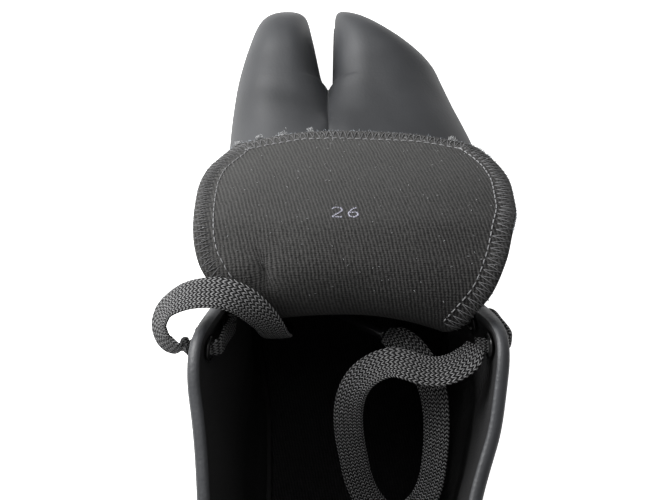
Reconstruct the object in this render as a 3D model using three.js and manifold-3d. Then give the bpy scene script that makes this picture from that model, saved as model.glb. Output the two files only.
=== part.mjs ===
// A right high-top tabi sneaker: split-toe leather upper on a rubber cup sole, with its tongue folded
// forward, an insole, eyelets and a flat knitted lace. Millimetres, +Z up, +Y to the toes, +X to the
// outer (little toe) side. The origin is on the floor under the middle of the heel's flat.
import * as THREE from "three";
import { mergeVertices } from "three/addons/utils/BufferGeometryUtils.js";
import Module from "manifold-3d";

const wasm = await Module();
wasm.setup();

// Driving sizes of the shoe.
const LENGTH = 282;
const BALL_WIDTH = 104;
const HEEL_WIDTH = 70;
const HEEL_REST = 35; // from the heel's back to the middle of its flat
const CLEFT_DEPTH = 37; // from the toe tips back to the end of the split
const CLEFT_END_GAP = 3.4;
const TOE_HEIGHT = 38; // the vamp's top over the end of the split
const THROAT_HEIGHT = 73; // the instep's top at the foot of the throat
const THROAT_BASE = 178; // from the heel's back
const THROAT_HALF_GAP = 16;
const COLLAR_FRONT = 110; // front top corners of the two flaps, from the heel's back
const COLLAR_FRONT_HEIGHT = 165;
const COLLAR_HALF = 48; // half the collar's greatest width
const COLLAR_MID = 64;
const COLLAR_BACK = 13;
const COLLAR_BACK_HEIGHT = 150;
const CORNER_ROUND = 12;

// Walls, layers and clearances.
const WALL = 2.2;
const CLEAR = 0.3;
const RIM = 2.4; // the cup sole's rim
const HEEL_FLOOR = 13; // the rubber under the heel
const TOE_FLOOR = 6;
const RIM_ABOVE_FLOOR = 8;
const TOE_SPRING = 6;
const HEEL_BEVEL = 2.5;
const ARCH_LIFT = 2.6;
const STEP_HEIGHT = 4.2; // top of the sole's side step
const STEP_DEPTH = 0.9;
const TREAD_DEPTH = 1.3;
const TREAD_WIDTH = 3.2;
const TREAD_PITCH = 13;
const FOREFOOT_REST = 190; // from the heel's back to the middle of the forefoot's flat
const TREAD = [
  { rest: HEEL_REST, behind: 2, before: 4 },
  { rest: FOREFOOT_REST, behind: 2, before: 5 },
];
const TUCK = 1.6; // height over which the upper tucks in to the rim
const INSOLE_THICKNESS = 3.4;
const TONGUE_THICKNESS = 3;
const TONGUE_HALF = 45; // half width that the tongue's table shares

// Fastening.
const EYELET_PAIRS = 7;
const EYELET_HOLE = 2.3;
const EYELET_BARREL = 0.55;
const EYELET_FLANGE = 4.3;
const EYELET_PLATE = 0.7;
const EYELET_INSET = 9; // from the eyestay's edge
const LACE_WIDTH = 9;
const LACE_THICKNESS = 1.5;
const LACE_DRAWN = 7; // the lace's width where it is drawn between eyelets
const AGLET_LENGTH = 22;
const AGLET_RADIUS = 1.9;

const BLACK_LEATHER = { color: 0x1b1b1c, roughness: 0.55, metalness: 0 };
const BLACK_RUBBER = { color: 0x171717, roughness: 0.7, metalness: 0 };
const BLACK_TWILL = { color: 0x232122, roughness: 0.9, metalness: 0 };
const BLACK_FOAM = { color: 0x1e1e1f, roughness: 0.9, metalness: 0 };
const BLACK_ENAMEL = { color: 0x101011, roughness: 0.35, metalness: 0.3 };
const BLACK_KNIT = { color: 0x2a2a2b, roughness: 0.85, metalness: 0 };
const BLACK_FILM = { color: 0x0e0e0f, roughness: 0.15, metalness: 0 };

// The foot's plan: half widths of each side at shares of the length. Widths are shares of the local
// width, which goes from the heel's to the ball's.
const PLAN = [
  { along: 0.0, medial: 0.48, lateral: 0.49 },
  { along: 0.12, medial: 0.494, lateral: 0.503 },
  { along: 0.21, medial: 0.488, lateral: 0.514 },
  { along: 0.315, medial: 0.442, lateral: 0.506 },
  { along: 0.42, medial: 0.4, lateral: 0.494 },
  { along: 0.525, medial: 0.399, lateral: 0.502 },
  { along: 0.61, medial: 0.418, lateral: 0.532 },
  { along: 0.68, medial: 0.441, lateral: 0.56 },
  { along: 0.725, medial: 0.446, lateral: 0.567 },
  { along: 0.775, medial: 0.438, lateral: 0.54 },
  { along: 0.81, medial: 0.431, lateral: 0.5 },
  { along: 0.84, medial: 0.422, lateral: 0.461 },
  { along: 0.875, medial: 0.408, lateral: 0.42 },
  { along: 0.905, medial: 0.389, lateral: 0.386 },
  { along: 0.95, medial: 0.35, lateral: 0.327 },
  { along: 1.0, medial: 0.303, lateral: 0.257 },
];
const PLAN_HEEL_SHARE = 0.2; // where the local width starts to leave the heel's
const PLAN_BALL_SHARE = 0.65; // and where it has reached the ball's
const HEEL_ROUND = { length: 0.122, power: 2.2, root: 0.455 };

// The two toes. tip, wall and slope place the tip and the split's wall as shares of the ball width;
// reach is how far each round runs back, as a share of the length; power and root shape it.
const TOES = {
  medial: {
    sign: -1, tip: -0.2, tipShort: 0.003, wall: -0.058, slope: -0.0019,
    outer: { reach: 0.049, power: 3, root: 0.333 }, inner: { reach: 0.028, power: 3, root: 0.333 },
  },
  lateral: {
    sign: 1, tip: 0.024, tipShort: 0.001, wall: -0.026, slope: 0.0002,
    outer: { reach: 0.108, power: 2.05, root: 0.98 }, inner: { reach: 0.016, power: 2.2, root: 0.455 },
  },
};
const CLEFT_X = -0.042; // the split's end, as a share of the ball width
const CLEFT_ROUND = 1.6; // length over which the split's end opens, as a share of its gap

// The vamp's top: toe is the share of the toe height and climb the share of the rise from there to the
// throat, at shares of the way from the throat's foot to the toe tips.
const RIDGE = [
  { at: 0.0, toe: 1.0, climb: 1.0 },
  { at: 0.112, toe: 1.0, climb: 0.73 },
  { at: 0.205, toe: 1.0, climb: 0.53 },
  { at: 0.341, toe: 1.0, climb: 0.3 },
  { at: 0.484, toe: 1.0, climb: 0.14 },
  { at: 0.62, toe: 0.985, climb: 0.045 },
  { at: 0.772, toe: 0.94, climb: 0.0 },
  { at: 0.84, toe: 0.885, climb: 0.0 },
  { at: 0.9, toe: 0.785, climb: 0.0 },
  { at: 0.935, toe: 0.69, climb: 0.0 },
  { at: 0.965, toe: 0.56, climb: 0.0 },
  { at: 0.985, toe: 0.465, climb: 0.0 },
  { at: 1.0, toe: 0.41, climb: 0.0 },
];
const ARCH_POWER = 2.25; // the vamp's section, a superellipse
const ARCH_HEIGHT_POWER = 2.1;
const VALLEY_POWER = 0.42; // how soon behind the split the two toes' domes merge
const APEX = { medial: 0.46, lateral: 0.36 }; // each toe's top, as a share of its width from the split
const TIP_APEX = 0.5; // the same at the toe tips

// How far the shaft's wall stands out of a straight line from feather to edge, in shares of the
// local half width, at shares of its height.
const SHAFT = [
  { up: 0.0, heel: 0.0, side: 0.0, front: 0.0 },
  { up: 0.1, heel: 0.06, side: 0.01, front: 0.02 },
  { up: 0.2, heel: 0.1, side: 0.01, front: 0.03 },
  { up: 0.32, heel: 0.1, side: -0.035, front: 0.0 },
  { up: 0.45, heel: 0.055, side: -0.07, front: -0.04 },
  { up: 0.6, heel: -0.01, side: -0.06, front: -0.06 },
  { up: 0.75, heel: -0.045, side: -0.04, front: -0.05 },
  { up: 0.88, heel: -0.03, side: -0.015, front: -0.025 },
  { up: 1.0, heel: 0.0, side: 0.0, front: 0.0 },
];
// The collar in plan: half widths of each side as shares of the greatest, at shares of the way from its
// back to the flaps' front corners. The inner flap's corner turns in.
const COLLAR = [
  { along: 0.0, medial: 0.885, lateral: 0.785 },
  { along: 0.526, medial: 0.885, lateral: 0.785 },
  { along: 0.608, medial: 0.895, lateral: 0.865 },
  { along: 0.67, medial: 0.905, lateral: 0.92 },
  { along: 0.76, medial: 0.92, lateral: 0.95 },
  { along: 0.866, medial: 0.955, lateral: 0.97 },
  { along: 0.93, medial: 0.985, lateral: 0.995 },
  { along: 1.0, medial: 0.93, lateral: 1.02 },
];
const FLAP_SHARE = 0.46; // share of the columns from the throat's foot that end on the eyestay
const ARCH_FADE = 0.5; // share over which the instep's arch turns into the shaft's profile

// The tongue's middle line, from its seam under the throat's foot, up inside the throat, over and
// forward to its free edge. y and z are shares of the throat's run and rise, measured from its foot;
// halves and curls are shares of the tongue's half width; a curl sets its side towards the foot's side,
// and sag draws both sides back along the tongue.
const TONGUE = [
  { y: -0.118, z: -0.1225, medial: 0.42, lateral: 0.42, curlIn: 0.12, curlOut: 0.12, sag: 0 },
  { y: 0.03, z: -0.105, medial: 0.45, lateral: 0.45, curlIn: 0.15, curlOut: 0.15, sag: 0 },
  { y: 0.175, z: 0.01, medial: 0.5, lateral: 0.5, curlIn: 0.16, curlOut: 0.16, sag: 0 },
  { y: 0.37, z: 0.24, medial: 0.54, lateral: 0.54, curlIn: 0.18, curlOut: 0.18, sag: 0 },
  { y: 0.535, z: 0.417, medial: 0.58, lateral: 0.58, curlIn: 0.16, curlOut: 0.17, sag: 0 },
  { y: 0.67, z: 0.562, medial: 0.61, lateral: 0.61, curlIn: 0.12, curlOut: 0.15, sag: 0 },
  { y: 0.775, z: 0.69, medial: 0.61, lateral: 0.65, curlIn: 0.08, curlOut: 0.14, sag: 0 },
  { y: 0.845, z: 0.795, medial: 0.64, lateral: 0.7, curlIn: 0.05, curlOut: 0.13, sag: 0 },
  { y: 0.868, z: 0.895, medial: 0.68, lateral: 0.77, curlIn: 0.02, curlOut: 0.12, sag: 0 },
  { y: 0.828, z: 0.972, medial: 0.81, lateral: 0.93, curlIn: -0.03, curlOut: 0.08, sag: 0 },
  { y: 0.725, z: 1.01, medial: 0.92, lateral: 1.03, curlIn: -0.05, curlOut: 0.02, sag: 0 },
  { y: 0.57, z: 0.985, medial: 0.98, lateral: 1.09, curlIn: -0.03, curlOut: -0.02, sag: 0 },
  { y: 0.42, z: 0.915, medial: 0.99, lateral: 1.14, curlIn: -0.03, curlOut: -0.03, sag: 0.005 },
  { y: 0.27, z: 0.825, medial: 0.985, lateral: 1.14, curlIn: -0.03, curlOut: -0.03, sag: 0.03 },
  { y: 0.12, z: 0.72, medial: 0.945, lateral: 1.1, curlIn: -0.03, curlOut: -0.03, sag: 0.06 },
  { y: 0.01, z: 0.641, medial: 0.87, lateral: 1.04, curlIn: -0.03, curlOut: -0.03, sag: 0.095 },
  { y: -0.068, z: 0.58, medial: 0.8, lateral: 0.975, curlIn: -0.03, curlOut: -0.03, sag: 0.12 },
  { y: -0.112, z: 0.547, medial: 0.767, lateral: 0.923, curlIn: -0.03, curlOut: -0.03, sag: 0.125 },
];
const TONGUE_COLUMNS = 8;

// The lace's two free ends, routes chosen by hand in the shoe's frame. The left one leaves the inner
// flap's top eyelet outward, turns in over the tongue's neck and drops behind it; the right one leaves
// the outer flap's inner face, lies across the opening, hangs in a loop and ends against the tongue.
const LACE_LEFT = [
  { at: [-45.5, 73.6, 150.1], face: [-0.95, -0.25, 0.1] },
  { at: [-50, 72.9, 151.6], face: [-0.8, -0.4, 0.4] },
  { at: [-53.4, 76, 153.6], face: [-0.8, -0.1, 0.6] },
  { at: [-53.8, 80, 156.4], face: [-0.7, 0.15, 0.7] },
  { at: [-51.2, 83.3, 160], face: [-0.45, 0.35, 0.85] },
  { at: [-46.6, 84.9, 164.2], face: [-0.3, 0.2, 0.95] },
  { at: [-41, 85.2, 167.8], face: [-0.1, 0.05, 1] },
  { at: [-35, 84.6, 169.6], face: [0, -0.1, 1] },
  { at: [-29.4, 82.8, 168.8], face: [0.1, -0.4, 0.9] },
  { at: [-25, 80, 165.4], face: [0.1, -0.75, 0.65] },
  { at: [-22.2, 77.8, 160], face: [0, -0.95, 0.3] },
  { at: [-20.8, 76.8, 153.4], face: [-0.1, -1, 0.1] },
  { at: [-20, 77.4, 146.6], face: [0, -1, 0] },
  { at: [-19.4, 79.6, 140], face: [0, -1, -0.1] },
];
const LACE_RIGHT = [
  { at: [38.7, 73.5, 148.7], face: [-0.4, 0.1, 1] },
  { at: [35.9, 69.6, 149.2], face: [-0.25, 0.1, 1] },
  { at: [31.8, 67, 149.4], face: [-0.1, 0.05, 1] },
  { at: [27.2, 66, 149], face: [0, 0, 1] },
  { at: [22.6, 66.4, 149.2], face: [0.05, 0, 1] },
  { at: [18.4, 67.8, 149.6], face: [0.05, 0, 1] },
  { at: [14.2, 68.8, 149], face: [-0.05, 0, 1] },
  { at: [9.8, 68.1, 147], face: [-0.2, -0.05, 1] },
  { at: [5.4, 65.8, 143.6], face: [-0.35, -0.2, 0.9] },
  { at: [2.5, 62.2, 139], face: [-0.3, -0.4, 0.85] },
  { at: [1.2, 57.4, 133], face: [-0.15, -0.6, 0.8] },
  { at: [1.4, 51.8, 126], face: [-0.05, -0.65, 0.75] },
  { at: [2.7, 45.7, 119], face: [0.05, -0.65, 0.75] },
  { at: [4.6, 38.8, 111.6], face: [0.15, -0.6, 0.75] },
  { at: [8.2, 32.6, 105.4], face: [0.2, -0.45, 0.85] },
  { at: [13.4, 28.5, 101.6], face: [0.1, -0.2, 1] },
  { at: [19.1, 28.5, 101.2], face: [-0.15, -0.15, 1] },
  { at: [23.8, 31.4, 104], face: [-0.4, -0.3, 0.85] },
  { at: [26.8, 36.5, 109.2], face: [-0.6, -0.45, 0.65] },
  { at: [28, 43.2, 115.8], face: [-0.6, -0.45, 0.65] },
  { at: [28.4, 50.4, 122], face: [-0.55, -0.4, 0.7] },
  { at: [28.1, 57.6, 127.4], face: [-0.5, -0.35, 0.8] },
  { at: [26.8, 64.3, 131.6], face: [-0.35, -0.25, 0.9] },
  { at: [24, 70.6, 134.6], face: [-0.2, -0.2, 0.95] },
  { at: [19.8, 75.8, 136.4], face: [-0.05, -0.2, 0.97] },
  { at: [16.4, 78.2, 135.8], face: [0, -0.1, 1] },
  { at: [13, 80.4, 133.6], face: [-0.4, 0.2, 0.9] },
];
const LACE_STEP = 5; // length of one facet along a lace

const mix = (a, b, t) => a + (b - a) * t;
const clamp = (v, lo, hi) => Math.min(hi, Math.max(lo, v));
const ease = (t) => clamp(t, 0, 1) ** 2 * (3 - 2 * clamp(t, 0, 1));

// A smooth value of one column of a table at a value of its first column (monotone cubic).
function read(table, by, column, value) {
  const last = table.length - 1;
  const v = clamp(value, table[0][by], table[last][by]);
  let i = 0;
  while (i < last - 1 && v > table[i + 1][by]) i += 1;
  const run = (k) => table[k + 1][by] - table[k][by];
  const secant = (k) => (table[k + 1][column] - table[k][column]) / run(k);
  const slope = (k) => {
    if (k === 0) return secant(0);
    if (k === last) return secant(last - 1);
    const a = secant(k - 1);
    const b = secant(k);
    return a * b <= 0 ? 0 : (2 * a * b) / (a + b);
  };
  const h = run(i);
  const t = (v - table[i][by]) / h;
  const from = (1 + 2 * t) * (1 - t) ** 2 * table[i][column] + t * (1 - t) ** 2 * h * slope(i);
  return from + t * t * (3 - 2 * t) * table[i + 1][column] + t * t * (t - 1) * h * slope(i + 1);
}

// Plan outline, y measured from the heel's back.
const CLEFT_END = LENGTH - CLEFT_DEPTH;
const tipY = (toe) => LENGTH * (1 - toe.tipShort);

function sideX(side, y) {
  const share = y / LENGTH;
  const width = mix(
    HEEL_WIDTH, BALL_WIDTH, ease((share - PLAN_HEEL_SHARE) / (PLAN_BALL_SHARE - PLAN_HEEL_SHARE)),
  );
  return read(PLAN, "along", side, share) * width;
}

function rounded(along, end, reach, shape) {
  const q = clamp((along - (end - reach)) / reach, 0, 1);
  return (1 - q ** shape.power) ** shape.root;
}

function outerX(side, y) {
  const toe = TOES[side];
  const heel = rounded(-y, 0, HEEL_ROUND.length * LENGTH, HEEL_ROUND);
  const tip = toe.tip * BALL_WIDTH;
  const front = rounded(y, tipY(toe), toe.outer.reach * LENGTH, toe.outer);
  const plain = toe.sign * sideX(side, y) * heel;
  return tip + (plain - tip) * front;
}

function cleftX(side, y) {
  const toe = TOES[side];
  const middle = CLEFT_X * BALL_WIDTH;
  const into = clamp(y - CLEFT_END, 0, CLEFT_DEPTH);
  const opening = clamp(into / (CLEFT_ROUND * CLEFT_END_GAP), 0, 1);
  const wall = toe.wall * BALL_WIDTH + toe.slope * BALL_WIDTH * into;
  const spread = middle + (wall - middle) * Math.sqrt(opening * (2 - opening));
  const tip = toe.tip * BALL_WIDTH;
  return tip + (spread - tip) * rounded(y, tipY(toe), toe.inner.reach * LENGTH, toe.inner);
}

// Stations along one toe, close together at the split's end and at the tip, then back to the
// throat's foot, then round the heel.
const TOE_STATIONS = 9;
const VAMP_GAPS = [0, 0.015, 0.05, 0.11, 0.2, 0.33, 0.5, 0.74, 1];
const BACK_COLUMNS = 17;

const toeStations = (side) =>
  Array.from({ length: TOE_STATIONS + 1 }, (_, j) => {
    const share = (1 - Math.cos((Math.PI * j) / TOE_STATIONS)) / 2;
    return mix(CLEFT_END, tipY(TOES[side]), share);
  });
const vampStations = VAMP_GAPS.map((gap) => mix(CLEFT_END, THROAT_BASE, gap));

// Points round one side from the throat's foot to the heel's back, evenly spaced along the outline.
const OUTLINE_FINE = 400;
function backPoints(side) {
  const fine = OUTLINE_FINE;
  const line = [];
  for (let i = 0; i <= fine; i += 1) {
    const y = THROAT_BASE * (1 - Math.sin((i / fine) * (Math.PI / 2)));
    line.push(new THREE.Vector2(outerX(side, y), y));
  }
  const reach = [0];
  for (let i = 1; i <= fine; i += 1) reach.push(reach[i - 1] + line[i].distanceTo(line[i - 1]));
  return Array.from({ length: BACK_COLUMNS + 1 }, (_, c) => {
    const want = (c / BACK_COLUMNS) * reach[fine];
    let i = 1;
    while (i < fine && reach[i] < want) i += 1;
    const t = (want - reach[i - 1]) / (reach[i] - reach[i - 1]);
    return line[i - 1].clone().lerp(line[i], t);
  });
}

// The whole outline as one loop, counter-clockwise from above, starting at the heel's back and going
// up the outer side. Its points are kept by name so that rows can join partners across.
function planLoop() {
  const loop = [];
  const index = { back: {}, vamp: {}, toe: {}, cleft: {} };
  const add = (x, y) => loop.push(new THREE.Vector2(x, y)) - 1;
  const lateralBack = backPoints("lateral");
  index.back.lateral = [];
  for (let c = BACK_COLUMNS; c >= 0; c -= 1) {
    index.back.lateral[c] = add(c === BACK_COLUMNS ? 0 : lateralBack[c].x, lateralBack[c].y);
  }
  index.vamp.lateral = [];
  index.vamp.lateral[vampStations.length - 1] = index.back.lateral[0];
  for (let s = vampStations.length - 2; s >= 0; s -= 1) {
    index.vamp.lateral[s] = add(outerX("lateral", vampStations[s]), vampStations[s]);
  }
  const toeSide = (side, outward) => {
    const ys = toeStations(side);
    const indices = [];
    const order = ys.map((_, j) => j);
    if (!outward) order.reverse();
    for (const j of order) {
      if (outward && j === 0) continue;
      if (!outward && j === TOE_STATIONS) continue;
      indices[j] = add(outward ? outerX(side, ys[j]) : cleftX(side, ys[j]), ys[j]);
    }
    return indices;
  };
  index.toe.lateral = toeSide("lateral", true);
  index.toe.lateral[0] = index.vamp.lateral[0];
  index.cleft.lateral = toeSide("lateral", false);
  index.cleft.lateral[TOE_STATIONS] = index.toe.lateral[TOE_STATIONS];
  index.cleft.medial = [];
  index.cleft.medial[0] = index.cleft.lateral[0];
  const ys = toeStations("medial");
  for (let j = 1; j < TOE_STATIONS; j += 1) index.cleft.medial[j] = add(cleftX("medial", ys[j]), ys[j]);
  index.toe.medial = [];
  for (let j = TOE_STATIONS; j >= 1; j -= 1) index.toe.medial[j] = add(outerX("medial", ys[j]), ys[j]);
  index.cleft.medial[TOE_STATIONS] = index.toe.medial[TOE_STATIONS];
  index.vamp.medial = vampStations.map((y) => add(outerX("medial", y), y));
  index.toe.medial[0] = index.vamp.medial[0];
  const medialBack = backPoints("medial");
  index.back.medial = [index.vamp.medial[vampStations.length - 1]];
  for (let c = 1; c < BACK_COLUMNS; c += 1) {
    index.back.medial[c] = add(medialBack[c].x, medialBack[c].y);
  }
  index.back.medial[BACK_COLUMNS] = index.back.lateral[BACK_COLUMNS];
  return { loop, index };
}

const { loop: OUTLINE, index: AT } = planLoop();
const outwardOf = (loop, i) => {
  const before = loop[(i + loop.length - 1) % loop.length];
  const after = loop[(i + 1) % loop.length];
  const one = loop[i].clone().sub(before).normalize();
  const two = after.clone().sub(loop[i]).normalize();
  const tangent = one.add(two).normalize();
  return new THREE.Vector2(tangent.y, -tangent.x);
};

// The outline drawn in by a distance, in small steps so that tight rounds close up without crossing.
const INSET_STEP = 0.4;
const INSET_EASE = 0.3;
function insetLoop(by) {
  const steps = Math.max(1, Math.ceil(by / INSET_STEP));
  let loop = OUTLINE;
  for (let n = 0; n < steps; n += 1) {
    const moved = loop.map((p, i) => p.clone().addScaledVector(outwardOf(loop, i), -by / steps));
    loop = moved.map((p, i) => {
      const before = moved[(i + moved.length - 1) % moved.length];
      const after = moved[(i + 1) % moved.length];
      const along = after.clone().sub(before).normalize();
      const drift = before.clone().add(after).multiplyScalar(0.5).sub(p);
      return p.clone().addScaledVector(along, drift.dot(along) * INSET_EASE);
    });
  }
  return loop;
}

// Heights of the sole along the shoe, y from the heel's back.
const SPRING_FROM = 0.72;
const SPRING_POWER = 1.8;
const spring = (y) => {
  const share = clamp((y / LENGTH - SPRING_FROM) / (1 - SPRING_FROM), 0, 1);
  return TOE_SPRING * share ** SPRING_POWER;
};
const BEVEL_SHARE = 0.45; // of the way from the heel's back to its flat's middle
const heelBevel = (y) => HEEL_BEVEL * clamp(1 - y / (HEEL_REST * BEVEL_SHARE), 0, 1) ** 2;
const ARCH_RUN = { from: 0.31, full: 0.37, leave: 0.5, to: 0.58 };
const archLift = (y) => {
  const s = y / LENGTH;
  const up = ease((s - ARCH_RUN.from) / (ARCH_RUN.full - ARCH_RUN.from));
  const down = ease((s - ARCH_RUN.leave) / (ARCH_RUN.to - ARCH_RUN.leave));
  return ARCH_LIFT * (up - down);
};
const soleBottom = (y) => spring(y) + heelBevel(y) + archLift(y);
const FLOOR_RUN = { from: 0.28, to: 0.66 };
const cupFloor = (y) => {
  const forward = ease((y / LENGTH - FLOOR_RUN.from) / (FLOOR_RUN.to - FLOOR_RUN.from));
  return spring(y) + mix(HEEL_FLOOR, TOE_FLOOR, forward);
};
const rimTop = (y) => cupFloor(y) + RIM_ABOVE_FLOOR;
const skirtTop = (y) => rimTop(y) + 2 * CLEAR;
const place = (p, z) => new THREE.Vector3(p.x, p.y - HEEL_REST, z);

// Collects shared vertices and faces of one closed body.
class Body {
  constructor() {
    this.points = [];
    this.faces = [];
  }
  point(v) {
    return this.points.push(v.clone()) - 1;
  }
  triangle(a, b, c) {
    if (a !== b && b !== c && c !== a) this.faces.push([a, b, c]);
  }
  quad(a, b, c, d) {
    this.triangle(a, b, c);
    this.triangle(a, c, d);
  }
  geometry() {
    const positions = new Float32Array(this.points.flatMap((p) => [p.x, p.y, p.z]));
    const geometry = new THREE.BufferGeometry();
    geometry.setAttribute("position", new THREE.BufferAttribute(positions, 3));
    geometry.setIndex(this.faces.flat());
    return mergeVertices(geometry, 1e-4);
  }
}

// Rows that join partners across the plan: the lists of index pairs run from heel to toes. The last
// few stations behind the split fan out from its end, which an inset moves back.
const FAN = 3;
function planStrips() {
  const strips = [];
  const pair = (a, b) => [AT[a[0]][a[1]][a[2]], AT[b[0]][b[1]][b[2]]];
  const rear = [];
  for (let c = BACK_COLUMNS; c > 0; c -= 1) rear.push(pair(["back", "medial", c], ["back", "lateral", c]));
  for (let s = vampStations.length - 1; s >= FAN; s -= 1) {
    rear.push(pair(["vamp", "medial", s], ["vamp", "lateral", s]));
  }
  strips.push(rear);
  const medial = [];
  const lateral = [];
  for (let j = 0; j <= TOE_STATIONS; j += 1) {
    medial.push(pair(["toe", "medial", j], ["cleft", "medial", j]));
    lateral.push(pair(["cleft", "lateral", j], ["toe", "lateral", j]));
  }
  strips.push(medial, lateral);
  return strips;
}

// Fills the plan between a ring's partners; up gives the side that the faces look to.
function fillPlan(body, ring, up) {
  for (const rows of planStrips()) {
    for (let k = 0; k + 1 < rows.length; k += 1) {
      const [a, b] = rows[k];
      const [d, c] = rows[k + 1];
      if (up) body.quad(ring[a], ring[b], ring[c], ring[d]);
      else body.quad(ring[d], ring[c], ring[b], ring[a]);
    }
  }
  const split = ring[AT.cleft.medial[0]];
  const { medial, lateral } = AT.vamp;
  const fan = [[ring[medial[FAN]], ring[lateral[FAN]], split]];
  for (let s = FAN; s > 0; s -= 1) {
    fan.push([ring[medial[s]], split, ring[medial[s - 1]]]);
    fan.push([split, ring[lateral[s]], ring[lateral[s - 1]]]);
  }
  for (const [a, b, c] of fan) {
    if (up) body.triangle(a, b, c);
    else body.triangle(c, b, a);
  }
}

function wallBetween(body, lower, upper) {
  for (let i = 0; i < lower.length; i += 1) {
    const next = (i + 1) % lower.length;
    body.quad(lower[i], lower[next], upper[next], upper[i]);
  }
}

// A closed plate with the plan's outline: rings from the underside up to the top, then down inside.
function platform(rings) {
  const body = new Body();
  const made = rings.map(({ by, height }) => {
    const loop = by > 0 ? insetLoop(by) : OUTLINE;
    return loop.map((p) => body.point(place(p, height(p.y))));
  });
  fillPlan(body, made[0], false);
  for (let k = 0; k + 1 < made.length; k += 1) wallBetween(body, made[k], made[k + 1]);
  fillPlan(body, made[made.length - 1], true);
  return body.geometry();
}

// Joins and cuts.
function solid(geometry) {
  const bare = geometry.index ? geometry.toNonIndexed() : geometry.clone();
  for (const name of Object.keys(bare.attributes)) {
    if (name !== "position") bare.deleteAttribute(name);
  }
  const merged = mergeVertices(bare, 1e-4);
  return new wasm.Manifold(
    new wasm.Mesh({
      numProp: 3,
      vertProperties: merged.attributes.position.array,
      triVerts: new Uint32Array(merged.index.array),
    }),
  );
}

function fromSolid(made) {
  const mesh = made.getMesh();
  const geometry = new THREE.BufferGeometry();
  const points = new Float32Array(mesh.numVert * 3);
  for (let i = 0; i < mesh.numVert; i += 1) {
    const start = i * mesh.numProp;
    points.set(mesh.vertProperties.subarray(start, start + 3), i * 3);
  }
  geometry.setAttribute("position", new THREE.BufferAttribute(points, 3));
  geometry.setIndex(new THREE.BufferAttribute(mesh.triVerts, 1));
  return geometry;
}

function named(name, geometry, look) {
  const shown = geometry.toNonIndexed();
  shown.computeVertexNormals();
  const mesh = new THREE.Mesh(shown, new THREE.MeshStandardMaterial(look));
  mesh.name = name;
  return mesh;
}

// The cup sole, with a step round its side and grooves across its tread.
function makeSole() {
  const step = (y) => Math.max(soleBottom(y), spring(y)) + STEP_HEIGHT;
  const cup = platform([
    { by: STEP_DEPTH, height: soleBottom },
    { by: 0, height: (y) => soleBottom(y) + STEP_DEPTH },
    { by: 0, height: step },
    { by: STEP_DEPTH, height: (y) => step(y) + STEP_DEPTH },
    { by: STEP_DEPTH / 2, height: (y) => rimTop(y) - STEP_DEPTH },
    { by: STEP_DEPTH, height: rimTop },
    { by: RIM, height: rimTop },
    { by: RIM, height: cupFloor },
  ]);
  let made = solid(cup);
  for (const { rest, before, behind } of TREAD) {
    for (let k = -behind; k < before; k += 1) {
      const y = rest + (k + 0.5) * TREAD_PITCH;
      const bar = new THREE.BoxGeometry(BALL_WIDTH * 2, TREAD_WIDTH, TREAD_DEPTH * 2);
      bar.translate(0, y - HEEL_REST, soleBottom(y));
      made = made.subtract(solid(bar));
    }
  }
  return fromSolid(made);
}

// The upper's own sections. Index 0 of a row is on the outer side, the last in the middle.
const HALF_ROWS = 12;
const QUARTER_ROWS = 9;
function ridgeHeight(y) {
  const at = (y - THROAT_BASE) / (LENGTH - THROAT_BASE);
  const rise = THROAT_HEIGHT - TOE_HEIGHT;
  return spring(y) + TOE_HEIGHT * read(RIDGE, "at", "toe", at) + rise * read(RIDGE, "at", "climb", at);
}

const power = (v, p) => Math.sign(v) * Math.abs(v) ** (2 / p);

// The upper's feather line stands just inside the rim; above the rim its wall swells to the outline.
const FEATHER = insetLoop(RIM + CLEAR);
const FEATHER_INSIDE = insetLoop(RIM + CLEAR + WALL);
const tuck = (i, rise) =>
  FEATHER[i].clone().sub(OUTLINE[i]).multiplyScalar(Math.exp(-Math.max(0, rise) / TUCK));

// The angle on the arch at the throat's foot where the quarter ends and the opening begins.
function throatAngle(side) {
  const half = Math.abs(outerX(side, THROAT_BASE) - CLEFT_X * BALL_WIDTH);
  return Math.acos((THROAT_HALF_GAP / half) ** (ARCH_POWER / 2));
}

function vampPoint(side, outerIndex, innerIndex, y, merge, i, tucked = true) {
  const full = Math.PI - (merge * Math.PI) / 2;
  const even = (i / HALF_ROWS) * full;
  const edge = throatAngle(side);
  const warped = i <= QUARTER_ROWS
    ? (edge * i) / QUARTER_ROWS
    : mix(edge, full, (i - QUARTER_ROWS) / (HALF_ROWS - QUARTER_ROWS));
  const turn = mix(even, warped, merge ** 4);
  const outer = OUTLINE[outerIndex];
  const middle = CLEFT_X * BALL_WIDTH;
  const inner = innerIndex === null ? new THREE.Vector2(middle, y) : OUTLINE[innerIndex];
  const beyond = ease((y - CLEFT_END) / CLEFT_DEPTH);
  const ownX = mix(mix(middle, outer.x, APEX[side]), mix(inner.x, outer.x, TIP_APEX), beyond);
  const apexX = mix(ownX, middle, ease((CLEFT_END - y) / (CLEFT_END - THROAT_BASE)));
  const base = skirtTop(y);
  const height = ridgeHeight(y) - base;
  const cos = power(Math.cos(turn), ARCH_POWER);
  const reach = Math.abs(power(Math.cos(full), ARCH_POWER));
  const x = cos >= 0 ? apexX + (outer.x - apexX) * cos : apexX + ((inner.x - apexX) * -cos) / reach;
  const rise = height * power(Math.max(0, Math.sin(turn)), ARCH_HEIGHT_POWER);
  const wallIndex = innerIndex === null ? AT.cleft.medial[0] : innerIndex;
  const fold = tucked ? tuck(cos >= 0 ? outerIndex : wallIndex, rise) : new THREE.Vector2();
  return new THREE.Vector3(x + fold.x, y + fold.y - HEEL_REST, base + rise);
}

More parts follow.
